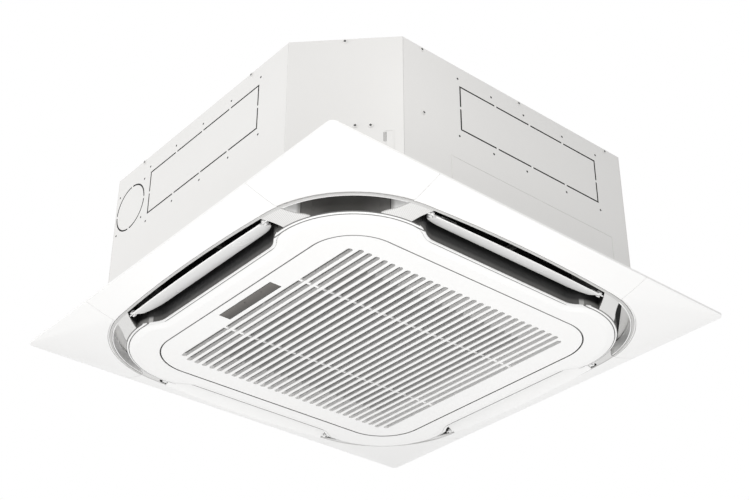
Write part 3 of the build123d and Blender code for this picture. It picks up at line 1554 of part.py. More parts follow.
def make_motor():
    with BuildPart() as housing:
        with BuildSketch(Plane.XY.offset(motor_z)):
            Circle(motor_r)
        extrude(amount=motor_top - motor_z)
        fillet(housing.edges().group_by(Axis.Z)[-1], motor_edge_r)
        with BuildSketch(Plane.XY.offset(motor_boss_z)):
            Circle(motor_boss_r)
        extrude(amount=motor_z - motor_boss_z)
        with BuildSketch(Plane.XY.offset(motor_lug_z)):
            with PolarLocations(motor_lug_r / 2, 4, start_angle=45):
                Rectangle(motor_lug_r, motor_lug_size)
            with PolarLocations(motor_lug_r, 4, start_angle=45):
                Circle(motor_lug_size / 2)
                Circle(mount_neck_r + stud_gap, mode=Mode.SUBTRACT)
        extrude(amount=motor_lug_wall)
        with BuildSketch(Plane.XY.offset(motor_boss_z)):
            Circle(shaft_r + running_gap)
        extrude(amount=shaft_top + slide_gap - motor_boss_z, mode=Mode.SUBTRACT)
    save(housing, "motor_housing")
    with BuildPart() as mounts:
        with BuildSketch(Plane.XY.offset(motor_lug_z - mount_height / 2)):
            with PolarLocations(motor_lug_r, 4, start_angle=45):
                Circle(mount_r)
        extrude(amount=motor_lug_wall + 1.5 * mount_height)
        with BuildSketch(Plane.XY.offset(motor_lug_z)):
            with PolarLocations(motor_lug_r, 4, start_angle=45):
                Circle(2 * mount_r)
                Circle(mount_neck_r, mode=Mode.SUBTRACT)
        extrude(amount=motor_lug_wall, mode=Mode.SUBTRACT)
        with BuildSketch(Plane.XY.offset(motor_lug_z - mount_height)):
            with PolarLocations(motor_lug_r, 4, start_angle=45):
                Circle(stud_r + stud_gap)
        extrude(amount=4 * mount_height, mode=Mode.SUBTRACT)
    save(mounts, "motor_mounts")
    with BuildPart() as nuts:
        top = motor_lug_z - mount_height / 2
        with BuildSketch(Plane.XY.offset(top - motor_nut_height)):
            with PolarLocations(motor_lug_r, 4, start_angle=45):
                RegularPolygon(2 * stud_r, 6)
                Circle(stud_r + stud_gap, mode=Mode.SUBTRACT)
        extrude(amount=motor_nut_height)
    save(nuts, "motor_nuts")


# ================================================================ control box
def make_control_box():
    with BuildPart() as box:
        middle = box_x + box_width / 2
        with BuildSketch(Plane.XY.offset(box_bottom)):
            with Locations((middle, 0)):
                Rectangle(box_width, box_length)
        extrude(amount=box_top - box_bottom)
        with BuildSketch(Plane.XY.offset(box_bottom)):
            with Locations((middle, 0)):
                Rectangle(box_width - 2 * box_wall, box_length - 2 * box_wall)
        extrude(amount=box_top - box_bottom - box_wall, mode=Mode.SUBTRACT)
    save(box, "control_box")
    with BuildPart() as cover:
        with BuildSketch(Plane.XY.offset(box_bottom - slide_gap - box_wall)):
            with Locations((middle, 0)):
                Rectangle(box_width, box_length)
        extrude(amount=box_wall)
        inset = 2 * (box_wall + slide_gap)
        with BuildSketch(Plane.XY.offset(box_bottom - slide_gap)):
            with Locations((middle, 0)):
                Rectangle(box_width - inset, box_length - inset)
                Rectangle(
                    box_width - inset - 2 * box_wall,
                    box_length - inset - 2 * box_wall,
                    mode=Mode.SUBTRACT,
                )
        extrude(amount=box_recess_gap)
    save(cover, "control_box_cover")
    with BuildPart() as board:
        under = box_top - box_wall - board_drop
        with BuildSketch(Plane.XY.offset(under)):
            with Locations((middle, 0)):
                Rectangle(box_width - 2 * board_inset, box_length - 2 * board_inset)
        extrude(amount=end_plate_wall)
        # posts up to the box
        with BuildSketch(Plane.XY.offset(under)):
            with Locations((middle, 0)):
                with GridLocations(
                    box_width - 4 * board_inset, box_length - 4 * board_inset, 2, 2
                ):
                    Circle(stud_r)
        extrude(amount=board_drop)
        # terminal block, capacitors and relays
        with BuildSketch(Plane.XY.offset(under)):
            with Locations((middle, -box_length / 3)):
                Rectangle(box_width / 3, box_length / 5)
            with Locations((middle, 0)):
                with GridLocations(0, box_width / 3, 1, 3):
                    Circle(part_height / 2)
            with Locations((middle, box_length / 3)):
                with GridLocations(part_height * 1.5, part_height * 1.5, 2, 2):
                    Rectangle(part_height, part_height)
        extrude(amount=-part_height)
    save(board, "control_board")


# ================================================================ all the pieces
make_panel_frame()
for corner in range(4):
    make_corner_cover(corner)
make_outlet_ring()
make_duct_frame()
make_corner_vanes()
make_centre_panel()
for side in range(4):
    make_flap(side)
    make_flap_motor(side)
make_grille()
make_filter()
make_display()
make_catches()
make_panel_screws()
make_casing()
make_top_plate()
make_casing_screws()
make_liner()
for corner in range(4):
    make_hanger_bracket(corner)
make_coil()
make_coil_tubes()
make_partition()
make_union(pipe_y, gas_z, gas_r, "gas_union")
make_union(liquid_y, liquid_z, liquid_r, "liquid_union")
make_pipe_plate()
make_grommets()
make_drain_pan()
make_outlet_foam()
make_drain_plug()
make_pump()
make_float_switch()
make_bell_mouth()
make_fan()
make_shaft()
make_motor()
make_control_box()
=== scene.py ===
# %% [markdown]
# # Ceiling cassette air conditioner
# The unit hangs in a false ceiling. Its square panel is what people see from below:
# a white frame, four flaps, four small corner outlets and a slotted grille. The
# sheet-metal body above it holds the coil, the fan and the drain pump.
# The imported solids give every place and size, and this lesson dresses them.

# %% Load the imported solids
import math

import bpy
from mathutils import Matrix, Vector


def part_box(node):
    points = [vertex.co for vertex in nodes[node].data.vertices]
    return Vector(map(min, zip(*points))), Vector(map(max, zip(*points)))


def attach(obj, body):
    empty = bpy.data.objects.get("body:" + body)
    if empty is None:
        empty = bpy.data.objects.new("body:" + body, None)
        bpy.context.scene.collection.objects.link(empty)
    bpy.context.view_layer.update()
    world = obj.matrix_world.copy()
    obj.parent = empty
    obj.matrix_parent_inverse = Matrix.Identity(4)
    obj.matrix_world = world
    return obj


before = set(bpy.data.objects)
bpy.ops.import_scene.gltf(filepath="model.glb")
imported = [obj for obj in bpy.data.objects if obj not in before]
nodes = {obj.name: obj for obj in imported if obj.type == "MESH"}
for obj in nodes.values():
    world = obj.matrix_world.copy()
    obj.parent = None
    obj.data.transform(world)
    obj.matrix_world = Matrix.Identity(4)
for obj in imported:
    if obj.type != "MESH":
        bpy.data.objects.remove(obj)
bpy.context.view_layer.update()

# %% [markdown]
# ## Camera
# The photograph was taken from below and to one side. Lines that are parallel on the
# panel close in on each other only a little, so the lens is a long one. The place and
# the lens come from fitting the panel's four corners and the body's edges.

# %% Camera
camera_place = Vector((-1.5372, -1.8338, -1.2633))
camera_target = Vector((-0.1833, -0.2306, 0.0386))
camera_lens = 68.0  # millimetres, on a sensor 36 mm wide

lens = bpy.data.cameras.new("camera")
lens.lens = camera_lens
lens.sensor_width = 36.0
lens.clip_start = 0.05
camera = bpy.data.objects.new("camera", lens)
camera.location = camera_place
camera.rotation_mode = "QUATERNION"
camera.rotation_quaternion = (camera_target - camera_place).to_track_quat("-Z", "Y")
bpy.context.scene.collection.objects.link(camera)
bpy.context.scene.camera = camera
print("camera", round((camera_target - camera_place).length, 3), "m from the panel")

# %% [markdown]
# ## Light
# The photograph is a bright studio picture on white. The light is soft and comes
# mostly from below and from the left, so the panel is the brightest part and the
# right side of the body is a warm grey. Large area lamps give that soft light. The
# room around is white to the camera and weaker as light, so that the white mouldings
# keep their shading.

# %% Studio light
def lamp(name, place, target, size, power, colour=(1.0, 1.0, 1.0)):
    """Square soft box that points at a target."""
    data = bpy.data.lights.new(name, "AREA")
    data.size = size
    data.energy = power
    data.color = colour
    box = bpy.data.objects.new(name, data)
    box.location = place
    aim = Vector(target) - Vector(place)
    box.rotation_mode = "QUATERNION"
    box.rotation_quaternion = aim.to_track_quat("-Z", "Y")
    box.visible_camera = False
    bpy.context.scene.collection.objects.link(box)


middle = (0.0, 0.0, 0.15)
near_corner = (-0.22, -0.42, 0.14)
warm_white = (1.0, 0.99, 0.975)
lamp("key_left", (-2.6, 0.6, 0.4), middle, 1.6, 25.0)
lamp("fill_front", (-0.62, -1.15, 0.16), near_corner, 0.5, 2.6, warm_white)
lamp("below", (-0.4, -0.6, -2.0), middle, 2.2, 33.0)
lamp("above", (0.5, 0.8, 2.6), middle, 2.0, 20.0)
print("four soft boxes")

# %% World
room_white = (1.0, 1.0, 1.0, 1.0)
room_light = 0.64

world = bpy.data.worlds.new("studio")
bpy.context.scene.world = world
world.use_nodes = True
tree = world.node_tree
tree.nodes.clear()
seen = tree.nodes.new("ShaderNodeBackground")
seen.inputs["Color"].default_value = room_white
seen.inputs["Strength"].default_value = 1.0
soft = tree.nodes.new("ShaderNodeBackground")
soft.inputs["Color"].default_value = room_white
soft.inputs["Strength"].default_value = room_light
path = tree.nodes.new("ShaderNodeLightPath")
camera_or_glossy = tree.nodes.new("ShaderNodeMath")
camera_or_glossy.operation = "MAXIMUM"
or_glass = tree.nodes.new("ShaderNodeMath")
or_glass.operation = "MAXIMUM"
choose = tree.nodes.new("ShaderNodeMixShader")
shown = tree.nodes.new("ShaderNodeOutputWorld")
tree.links.new(path.outputs["Is Camera Ray"], camera_or_glossy.inputs[0])
tree.links.new(path.outputs["Is Glossy Ray"], camera_or_glossy.inputs[1])
tree.links.new(camera_or_glossy.outputs[0], or_glass.inputs[0])
tree.links.new(path.outputs["Is Transmission Ray"], or_glass.inputs[1])
tree.links.new(or_glass.outputs[0], choose.inputs["Fac"])
tree.links.new(soft.outputs[0], choose.inputs[1])
tree.links.new(seen.outputs[0], choose.inputs[2])
tree.links.new(choose.outputs[0], shown.inputs["Surface"])
bpy.context.scene.view_settings.view_transform = "Standard"
print("white to the camera, softer as light")

# %% [markdown]
# ## Shared effects
# No real surface is one flat colour. Three effects are built once as node groups, and
# each material sets their scale and strength: a slow change of tone, the fine grain of
# a moulding, and cells, which serve as the spangle of zinc-coated sheet and as the
# beads of foam. All of them start from a place in the frame that the parts share.

# %% Tools for node groups
def new_group(name, numbers, colours=(), outputs=()):
    """Shader node group with named number and colour inputs and its outputs."""
    group = bpy.data.node_groups.new(name, "ShaderNodeTree")
    for label, value in numbers:
        socket = group.interface.new_socket(
            label, in_out="INPUT", socket_type="NodeSocketFloat"
        )
        socket.default_value = value
    for label in colours:
        group.interface.new_socket(label, in_out="INPUT", socket_type="NodeSocketColor")
    for label, kind in outputs:
        group.interface.new_socket(label, in_out="OUTPUT", socket_type=kind)
    return group, group.nodes.new("NodeGroupInput"), group.nodes.new("NodeGroupOutput")


def math_node(tree, operation, first, second):
    """Math node whose two inputs are sockets or numbers."""
    node = tree.nodes.new("ShaderNodeMath")
    node.operation = operation
    for socket, value in zip(node.inputs, (first, second)):
        if isinstance(value, (int, float)):
            socket.default_value = value
        else:
            tree.links.new(value, socket)
    return node.outputs[0]


def axes(tree):
    """X, Y and Z of a place on the object."""
    place = tree.nodes.new("ShaderNodeTexCoord")
    parts = tree.nodes.new("ShaderNodeSeparateXYZ")
    tree.links.new(place.outputs["Object"], parts.inputs[0])
    return parts.outputs["X"], parts.outputs["Y"], parts.outputs["Z"]


def from_middle(tree):
    """How far a place lies from the middle along X and along Y, and its height."""
    across, along, up = axes(tree)
    wide = math_node(tree, "ABSOLUTE", across, 0.0)
    deep = math_node(tree, "ABSOLUTE", along, 0.0)
    return wide, deep, up


print("tools for node groups ready")

# %% Slow change of tone
tone, tone_in, tone_out = new_group(
    "tone_change",
    [("Scale", 6.0), ("Amount", 0.03)],
    colours=["Color"],
    outputs=[("Color", "NodeSocketColor"), ("Value", "NodeSocketFloat")],
)
place = tone.nodes.new("ShaderNodeTexCoord")
clouds = tone.nodes.new("ShaderNodeTexNoise")
clouds.inputs["Detail"].default_value = 4.0
tone.links.new(place.outputs["Object"], clouds.inputs["Vector"])
tone.links.new(tone_in.outputs["Scale"], clouds.inputs["Scale"])
around_one = math_node(tone, "SUBTRACT", clouds.outputs["Fac"], 0.5)
scaled = math_node(tone, "MULTIPLY", around_one, tone_in.outputs["Amount"])
factor = math_node(tone, "ADD", scaled, 1.0)
tinted = tone.nodes.new("ShaderNodeVectorMath")
tinted.operation = "SCALE"
tone.links.new(tone_in.outputs["Color"], tinted.inputs[0])
tone.links.new(factor, tinted.inputs["Scale"])
tone.links.new(tinted.outputs[0], tone_out.inputs["Color"])
tone.links.new(clouds.outputs["Fac"], tone_out.inputs["Value"])
print("tone_change built")

# %% Fine grain of a moulding
grain_depth = 0.0004

grain, grain_in, grain_out = new_group(
    "moulded_grain",
    [("Scale", 900.0), ("Height", 0.1)],
    outputs=[("Normal", "NodeSocketVector"), ("Value", "NodeSocketFloat")],
)
place = grain.nodes.new("ShaderNodeTexCoord")
speckle = grain.nodes.new("ShaderNodeTexNoise")
speckle.inputs["Detail"].default_value = 2.0
bump = grain.nodes.new("ShaderNodeBump")
bump.inputs["Distance"].default_value = grain_depth
grain.links.new(place.outputs["Object"], speckle.inputs["Vector"])
grain.links.new(grain_in.outputs["Scale"], speckle.inputs["Scale"])
grain.links.new(speckle.outputs["Fac"], bump.inputs["Height"])
grain.links.new(grain_in.outputs["Height"], bump.inputs["Strength"])
grain.links.new(bump.outputs["Normal"], grain_out.inputs["Normal"])
grain.links.new(speckle.outputs["Fac"], grain_out.inputs["Value"])
print("moulded_grain built")

# %% Cells: zinc spangle and foam beads
cell_depth = 0.001

cells, cells_in, cells_out = new_group(
    "surface_cells",
    [("Scale", 60.0), ("Height", 0.2)],
    outputs=[
        ("Tone", "NodeSocketFloat"),
        ("Edge", "NodeSocketFloat"),
        ("Normal", "NodeSocketVector"),
    ],
)
place = cells.nodes.new("ShaderNodeTexCoord")
patches = cells.nodes.new("ShaderNodeTexVoronoi")
bump = cells.nodes.new("ShaderNodeBump")
bump.inputs["Distance"].default_value = cell_depth
split = cells.nodes.new("ShaderNodeSeparateColor")
cells.links.new(place.outputs["Object"], patches.inputs["Vector"])
cells.links.new(cells_in.outputs["Scale"], patches.inputs["Scale"])
cells.links.new(patches.outputs["Color"], split.inputs[0])
cells.links.new(split.outputs[0], cells_out.inputs["Tone"])
cells.links.new(patches.outputs["Distance"], cells_out.inputs["Edge"])
cells.links.new(patches.outputs["Distance"], bump.inputs["Height"])
cells.links.new(cells_in.outputs["Height"], bump.inputs["Strength"])
cells.links.new(bump.outputs["Normal"], cells_out.inputs["Normal"])
print("surface_cells built")

# %% [markdown]
# ## Fine ribs
# The coil's fins, the hatching on the ring's webs and the filter's weave are all rows
# of fine lines. One group makes them from a position: it takes a coordinate, repeats
# it at a pitch and gives a mask and a height.

# %% Rows of fine lines
row_depth = 0.0008

rows, rows_in, rows_out = new_group(
    "fine_rows",
    [("Along", 0.0), ("Pitch", 0.002), ("Depth", 0.3)],
    outputs=[("Mask", "NodeSocketFloat"), ("Normal", "NodeSocketVector")],
)
turns = math_node(rows, "DIVIDE", rows_in.outputs["Along"], rows_in.outputs["Pitch"])
angle = math_node(rows, "MULTIPLY", turns, 2 * math.pi)
wave = math_node(rows, "SINE", angle, 0.0)
mask = math_node(rows, "MULTIPLY_ADD", wave, 0.5)
mask.node.inputs[2].default_value = 0.5
bump = rows.nodes.new("ShaderNodeBump")
bump.inputs["Distance"].default_value = row_depth
rows.links.new(mask, bump.inputs["Height"])
rows.links.new(rows_in.outputs["Depth"], bump.inputs["Strength"])
rows.links.new(mask, rows_out.inputs["Mask"])
rows.links.new(bump.outputs["Normal"], rows_out.inputs["Normal"])
print("fine_rows built")

# %% [markdown]
# ## Where on the panel
# The mouldings of the panel change colour from place to place: the air ducts are black
# inside and white round the corner outlets, and the ring has plain strips beside its
# hatching. Two groups turn a position into something such a change can follow. One
# gives a mask that rises with height. The other takes half the width of the square that
# rounded corners turn round. It gives the distance out from that square, the angle
# round its corner, how far a place lies from the diagonal, and the smaller of its two
# distances from the middle.

# %% Mask by height
heights, heights_in, heights_out = new_group(
    "height_mask",
    [("From", 0.02), ("To", 0.03)],
    outputs=[("Mask", "NodeSocketFloat")],
)
rise = heights.nodes.new("ShaderNodeMapRange")
rise.interpolation_type = "SMOOTHSTEP"
heights.links.new(axes(heights)[2], rise.inputs["Value"])
heights.links.new(heights_in.outputs["From"], rise.inputs["From Min"])
heights.links.new(heights_in.outputs["To"], rise.inputs["From Max"])
heights.links.new(rise.outputs[0], heights_out.inputs["Mask"])
print("height_mask built")

# %% Place round a corner
turn, turn_in, turn_out = new_group(
    "round_the_corner",
    [("Centre", 0.2054)],
    outputs=[
        ("Out", "NodeSocketFloat"),
        ("Angle", "NodeSocketFloat"),
        ("Skew", "NodeSocketFloat"),
        ("Nearest", "NodeSocketFloat"),
    ],
)
wide, deep, _ = from_middle(turn)
past_x = math_node(turn, "SUBTRACT", wide, turn_in.outputs["Centre"])
past_y = math_node(turn, "SUBTRACT", deep, turn_in.outputs["Centre"])
square_x = math_node(turn, "POWER", math_node(turn, "MAXIMUM", past_x, 0.0), 2.0)
square_y = math_node(turn, "POWER", math_node(turn, "MAXIMUM", past_y, 0.0), 2.0)
both = math_node(turn, "ADD", square_x, square_y)
turn.links.new(math_node(turn, "SQRT", both, 0.0), turn_out.inputs["Out"])
turn.links.new(math_node(turn, "ARCTAN2", past_y, past_x), turn_out.inputs["Angle"])
skew = math_node(turn, "SUBTRACT", wide, deep)
turn.links.new(math_node(turn, "ABSOLUTE", skew, 0.0), turn_out.inputs["Skew"])
turn.links.new(math_node(turn, "MINIMUM", wide, deep), turn_out.inputs["Nearest"])
print("round_the_corner built")

# %% [markdown]
# ## Materials
# Each finish is one Principled shader. A helper makes the shader and sets the values
# that are the same all over, and the finishes then link their own effects to it.

# %% Tools for materials
def finish_of(name, colour, roughness, metallic=0.0, coat=0.0):
    """New material with a Principled shader; returns the material, tree and shader."""
    made = bpy.data.materials.new(name)
    made.use_nodes = True
    shader = made.node_tree.nodes["Principled BSDF"]
    shader.inputs["Base Color"].default_value = (*colour, 1.0)
    shader.inputs["Roughness"].default_value = roughness
    shader.inputs["Metallic"].default_value = metallic
    shader.inputs["Coat Weight"].default_value = coat
    made.diffuse_color = (*colour, 1.0)
    return made, made.node_tree, shader


def effect(tree, group, **values):
    """Place a node group in a material with its own values."""
    node = tree.nodes.new("ShaderNodeGroup")
    node.node_tree = group
    for label, value in values.items():
        node.inputs[label].default_value = value
    return node


def tone_to(tree, shader, colour, scale, amount):
    """Slow change of tone on a shader's colour."""
    node = effect(tree, tone, Scale=scale, Amount=amount)
    node.inputs["Color"].default_value = (*colour, 1.0)
    tree.links.new(node.outputs["Color"], shader.inputs["Base Color"])
    return node


def roughness_from(tree, shader, value, low, high):
    """Roughness that runs from low to high as a value runs from 0 to 1."""
    spread = tree.nodes.new("ShaderNodeMapRange")
    spread.inputs["To Min"].default_value = low
    spread.inputs["To Max"].default_value = high
    tree.links.new(value, spread.inputs["Value"])
    tree.links.new(spread.outputs[0], shader.inputs["Roughness"])


def step(tree, value, start, end):
    """Mask that runs smoothly from 0 to 1 as a value runs from start to end."""
    spread = tree.nodes.new("ShaderNodeMapRange")
    spread.interpolation_type = "SMOOTHSTEP"
    spread.inputs["From Min"].default_value = start
    spread.inputs["From Max"].default_value = end
    tree.links.new(value, spread.inputs["Value"])
    return spread.outputs[0]


def band(tree, value, start, end, soft=0.0006):
    """Mask that is 1 only where a value lies between start and end."""
    up = step(tree, value, start, start + soft)
    down = step(tree, value, end, end + soft)
    return math_node(tree, "SUBTRACT", up, down)


def between(tree, mask, first, second):
    """Colour that runs from the first to the second as a mask runs from 0 to 1."""
    node = tree.nodes.new("ShaderNodeMix")
    node.data_type = "RGBA"
    tree.links.new(mask, node.inputs["Factor"])
    for socket, colour in ((node.inputs["A"], first), (node.inputs["B"], second)):
        if isinstance(colour, tuple):
            socket.default_value = (*colour, 1.0)
        else:
            tree.links.new(colour, socket)
    return node.outputs["Result"]


def tone_over(tree, shader, colour, scale, amount):
    """Slow change of tone on a colour that already changes over the surface."""
    node = effect(tree, tone, Scale=scale, Amount=amount)
    tree.links.new(colour, node.inputs["Color"])
    tree.links.new(node.outputs["Color"], shader.inputs["Base Color"])
    return node


def dress(material, *names):
    """Give a material to solids by their names."""
    for name in names:
        slots = nodes[name].data.materials
        if not slots:
            slots.append(material)
        for index in range(len(slots)):
            slots[index] = material


print("tools for materials ready")

# %% [markdown]
# ## White mouldings
# The panel, grille, flaps and covers are white ABS with a soft gloss. Up close such a
# moulding has a very fine grain and its sheen is a little uneven. Painted shade gives the
# grille and the middle panel a darker line along the gap between them, and makes the
# walls of the grille's slots greyer than its face.

# %% Tool for mouldings
cloud_scale = 5.0
cloud_change = 0.02
grain_scale = 1400.0


def moulding(name, colour, roughness, height=0.05):
    """Moulded plastic: slow change of tone, fine grain and an uneven sheen."""
    made, tree, shader = finish_of(name, colour, roughness)
    node = tone_to(tree, shader, colour, cloud_scale, cloud_change)
    surface = effect(tree, grain, Scale=grain_scale, Height=height)
    tree.links.new(surface.outputs["Normal"], shader.inputs["Normal"])
    low, high = roughness - 0.05, roughness + 0.06
    roughness_from(tree, shader, node.outputs["Value"], low, high)
    return made


print("tool for mouldings ready")

# %% White mouldings
white_paint = (0.88, 0.876, 0.868)
# painted light: the flaps' white is a little brighter than the panel's, so they look more
# strongly lit
flap_lit_paint = (0.9, 0.897, 0.89)
seam_shade = (0.2, 0.198, 0.195)
slot_shade = (0.5, 0.497, 0.49)
panel_roughness = 0.32
flap_roughness = 0.26
grille_square = 0.2205
seam_start = 0.0902  # out from the grille's square
seam_end = 0.0932
seam_soft = 0.0003
seam_low = 0.006  # the line fades out between these heights
seam_high = 0.008
slots_half = 0.205  # the slots lie within this distance from the middle
slots_edge = 0.21
slot_low = 0.0008  # the slots' walls turn grey between these heights
slot_high = 0.004

white = moulding("white_moulding", white_paint, panel_roughness)
seamed = moulding("seamed_white", white_paint, panel_roughness)
tree = seamed.node_tree
grille_edge = effect(tree, turn, Centre=grille_square)
# painted shade: a darker line along the gap between grille and middle panel
seam = band(tree, grille_edge.outputs["Out"], seam_start, seam_end, seam_soft)
above = effect(tree, heights, From=seam_low, To=seam_high)
low = math_node(tree, "SUBTRACT", 1.0, above.outputs["Mask"])
shaded = math_node(tree, "MULTIPLY", seam, low)
colour = between(tree, shaded, white_paint, seam_shade)
wide, deep, up = from_middle(tree)
furthest = math_node(tree, "MAXIMUM", wide, deep)
outside_slots = step(tree, furthest, slots_half, slots_edge)
# painted shade: the walls of the grille's slots are greyer than its face
behind_face = step(tree, up, slot_low, slot_high)
in_slots = math_node(tree, "SUBTRACT", behind_face, outside_slots)
in_slots = math_node(tree, "MAXIMUM", in_slots, 0.0)
colour = between(tree, in_slots, colour, slot_shade)
tone_over(tree, tree.nodes["Principled BSDF"], colour, cloud_scale, cloud_change)
flap_white = moulding("flap_white", flap_lit_paint, flap_roughness)

corners = ["rear_right", "rear_left", "front_left", "front_right"]
sides = ["right", "rear", "left", "front"]
dress(white, "panel_frame")
dress(seamed, "centre_panel", "grille")
dress(white, *["corner_cover_" + corner for corner in corners])
dress(flap_white, "corner_vanes", *["flap_" + side for side in sides])
print("white mouldings dressed")

# %% [markdown]
# ## Hatched ring
# The ring between frame and middle panel is light grey. Its webs carry very fine lines
# that fan out from the corner, and the strips along both its edges are plain. Thin dark
# lines of painted shade lie in the groove between the webs and the inner strip and at two
# places further in. Strips and lines follow the distance out from the square that the
# outlets' corners turn round, so they're masks of it.

# %% Hatched ring
web_grey = (0.6, 0.595, 0.585)
web_light = (0.74, 0.735, 0.725)
strip_white = (0.86, 0.857, 0.85)
lip_grey = (0.56, 0.555, 0.545)
groove_shade = (0.16, 0.158, 0.155)
outer_square = 0.2054
inner_square = 0.2175
lines_reach = 0.19  # how far out the lines have their true pitch
lines_pitch = 0.0034
lip_start = 0.2045  # out from the outer square
lip_full = 0.2055
web_start = 0.1595  # out from the inner square, like the dark lines
web_full = 0.1605
# painted shade: thin dark lines in the groove beside the webs and further in
edge_lines = ((0.1596, 0.1616), (0.1545, 0.1566), (0.1348, 0.1368))

hatched, tree, shader = finish_of("hatched_ring", web_grey, 0.34)
outer = effect(tree, turn, Centre=outer_square)
inner = effect(tree, turn, Centre=inner_square)
fan = math_node(tree, "MULTIPLY", outer.outputs["Angle"], lines_reach)
lines = effect(tree, rows, Pitch=lines_pitch, Depth=0.35)
tree.links.new(fan, lines.inputs["Along"])
colour = between(tree, lines.outputs["Mask"], web_grey, web_light)
on_lip = step(tree, outer.outputs["Out"], lip_start, lip_full)
colour = between(tree, on_lip, colour, lip_grey)
on_web = step(tree, inner.outputs["Out"], web_start, web_full)
colour = between(tree, on_web, strip_white, colour)
for start, end in edge_lines:
    line = band(tree, inner.outputs["Out"], start, end, seam_soft)
    colour = between(tree, line, colour, groove_shade)
tone_over(tree, shader, colour, 9.0, 0.05)
tree.links.new(lines.outputs["Normal"], shader.inputs["Normal"])
dress(hatched, "outlet_ring")
print("ring dressed")

# %% [markdown]
# ## Dark ducts and black mouldings
# The duct walls are dark grey at their mouths, and painted shade makes them black
# further in, so the outlets look black behind the flaps. Round the corner outlets the
# outer wall is white, and the inner wall is a grey of painted shade that gets lighter
# towards both ends, past an upright seam. The bell mouth, the motor's housing and the
# drain pump are black, and the fan is dark grey.
# Small parts that nobody sees, such as catches and flap motors, are pale mouldings.

# %% Duct walls
# painted shade: the duct walls turn this black further in
duct_shade_black = (0.012, 0.012, 0.012)
duct_mouth = (0.075, 0.073, 0.07)
duct_end = (0.2, 0.197, 0.19)
duct_band = (0.42, 0.415, 0.405)
# painted shade on the inner wall round the corner outlets, darkest at the diagonal
corner_deep_shade = (0.05, 0.048, 0.045)
corner_half_shade = (0.15, 0.146, 0.14)
corner_light_shade = (0.4, 0.395, 0.385)
corner_white = (0.88, 0.877, 0.87)
mouth_low = 0.011  # the walls turn black between these heights
mouth_high = 0.019
band_start = 0.186  # the pale band near the far end of the two outlets in view
band_end = 0.194
band_soft = 0.0008
mid_skew = (0.03, 0.1)  # from the diagonal: the wall gets paler between these,
seam_skew = (0.104, 0.1056, 0.0004)  # has its upright seam here
light_skew = (0.1055, 0.106)  # and is palest from here on
outer_wall = (0.186, 0.19)  # out from the outer square
corner_part = (0.2315, 0.2335)  # from the middle, along X and along Y

duct_walls = moulding("duct_walls", duct_mouth, 0.5, 0.12)
tree = duct_walls.node_tree
shader = tree.nodes["Principled BSDF"]
corner = effect(tree, turn, Centre=outer_square)
across, along, _ = axes(tree)
furthest = math_node(tree, "MAXIMUM", across, along)
past_start = step(tree, furthest, band_start, band_start + band_soft)
past_end = step(tree, furthest, band_end, band_end + band_soft)
colour = between(tree, past_start, duct_mouth, duct_band)
colour = between(tree, past_end, colour, duct_end)
# painted shade: black above these heights, deeper in the ducts
inside = effect(tree, heights, From=mouth_low, To=mouth_high)
colour = between(tree, inside.outputs["Mask"], colour, duct_shade_black)

# painted shade: the inner corner wall gets lighter away from the diagonal
skew = corner.outputs["Skew"]
wall = between(tree, step(tree, skew, *mid_skew), corner_deep_shade, corner_half_shade)
wall = between(tree, step(tree, skew, *light_skew), wall, corner_light_shade)
wall = between(tree, band(tree, skew, *seam_skew), wall, duct_shade_black)
outside = step(tree, corner.outputs["Out"], *outer_wall)
wall = between(tree, outside, wall, corner_white)
at_corner = step(tree, corner.outputs["Nearest"], *corner_part)
colour = between(tree, at_corner, colour, wall)
tone_over(tree, shader, colour, 12.0, 0.12)
dress(duct_walls, "duct_frame")
print("duct walls dressed")

# %% Black, dark and pale mouldings
black = moulding("black_moulding", (0.02, 0.02, 0.022), 0.42, 0.12)
fan_grey = moulding("fan_grey", (0.12, 0.12, 0.13), 0.45, 0.1)
pale = moulding("pale_moulding", (0.72, 0.73, 0.72), 0.45, 0.08)
dress(black, "bell_mouth", "motor_housing", "drain_pump")
dress(fan_grey, "turbo_fan", "catch_plunger_front", "catch_plunger_rear")
dress(pale, "catch_housings", "float_stem", "drain_outlet")
dress(pale, *["flap_motor_" + side for side in sides])
float_orange = moulding("float_orange", (0.62, 0.27, 0.03), 0.6, 0.2)
dress(float_orange, "float_ring")
print("dark mouldings dressed")

# %% [markdown]
# ## Filter
# A grey mesh lies behind the slots. Its weave is far too fine to model, so two sets
# of fine rows cross in the colour, and one of them gives the bump.

# %% Filter
thread_grey = (0.24, 0.236, 0.228)
crossing_grey = (0.12, 0.118, 0.114)
weave_pitch = 0.0016

filter_weave, tree, shader = finish_of("filter_weave", (0.22, 0.217, 0.21), 0.8)
across, along, _ = axes(tree)
weft = effect(tree, rows, Pitch=weave_pitch, Depth=0.6)
warp = effect(tree, rows, Pitch=weave_pitch, Depth=0.6)
tree.links.new(across, weft.inputs["Along"])
tree.links.new(along, warp.inputs["Along"])
weave = math_node(tree, "MULTIPLY", weft.outputs["Mask"], warp.outputs["Mask"])
colour = between(tree, weave, thread_grey, crossing_grey)
tree.links.new(colour, shader.inputs["Base Color"])
tree.links.new(weft.outputs["Normal"], shader.inputs["Normal"])
filter_grey = moulding("filter_grey", (0.26, 0.256, 0.25), 0.5, 0.1)
dress(filter_weave, "filter_mesh")
dress(filter_grey, "filter_frame")
print("filter dressed")

# %% [markdown]
# ## Signal window
# The window on the grille is a smoked strip with a slight brown tint and a dark line
# round its edge. Painted light makes it a little lighter towards its outer side and one
# end. It is glossy, so it takes a thin clear coat over a dark colour. Two small dark
# dots, where the signal lamps and the receiver look out, are discs on its face. They come
# with the small parts.

# %% Signal window
smoke_dark = (0.05, 0.046, 0.041)
# painted light: the strip is this lighter tone towards its outer side and one end
smoke_lit = (0.115, 0.106, 0.096)
smoke_line = (0.02, 0.019, 0.018)
lit_from = 0.002  # in from the outer side, where the strip is lightest
lit_to = 0.003  # in from the inner side, where it is darkest
line_width = 0.0012
line_soft = 0.0006

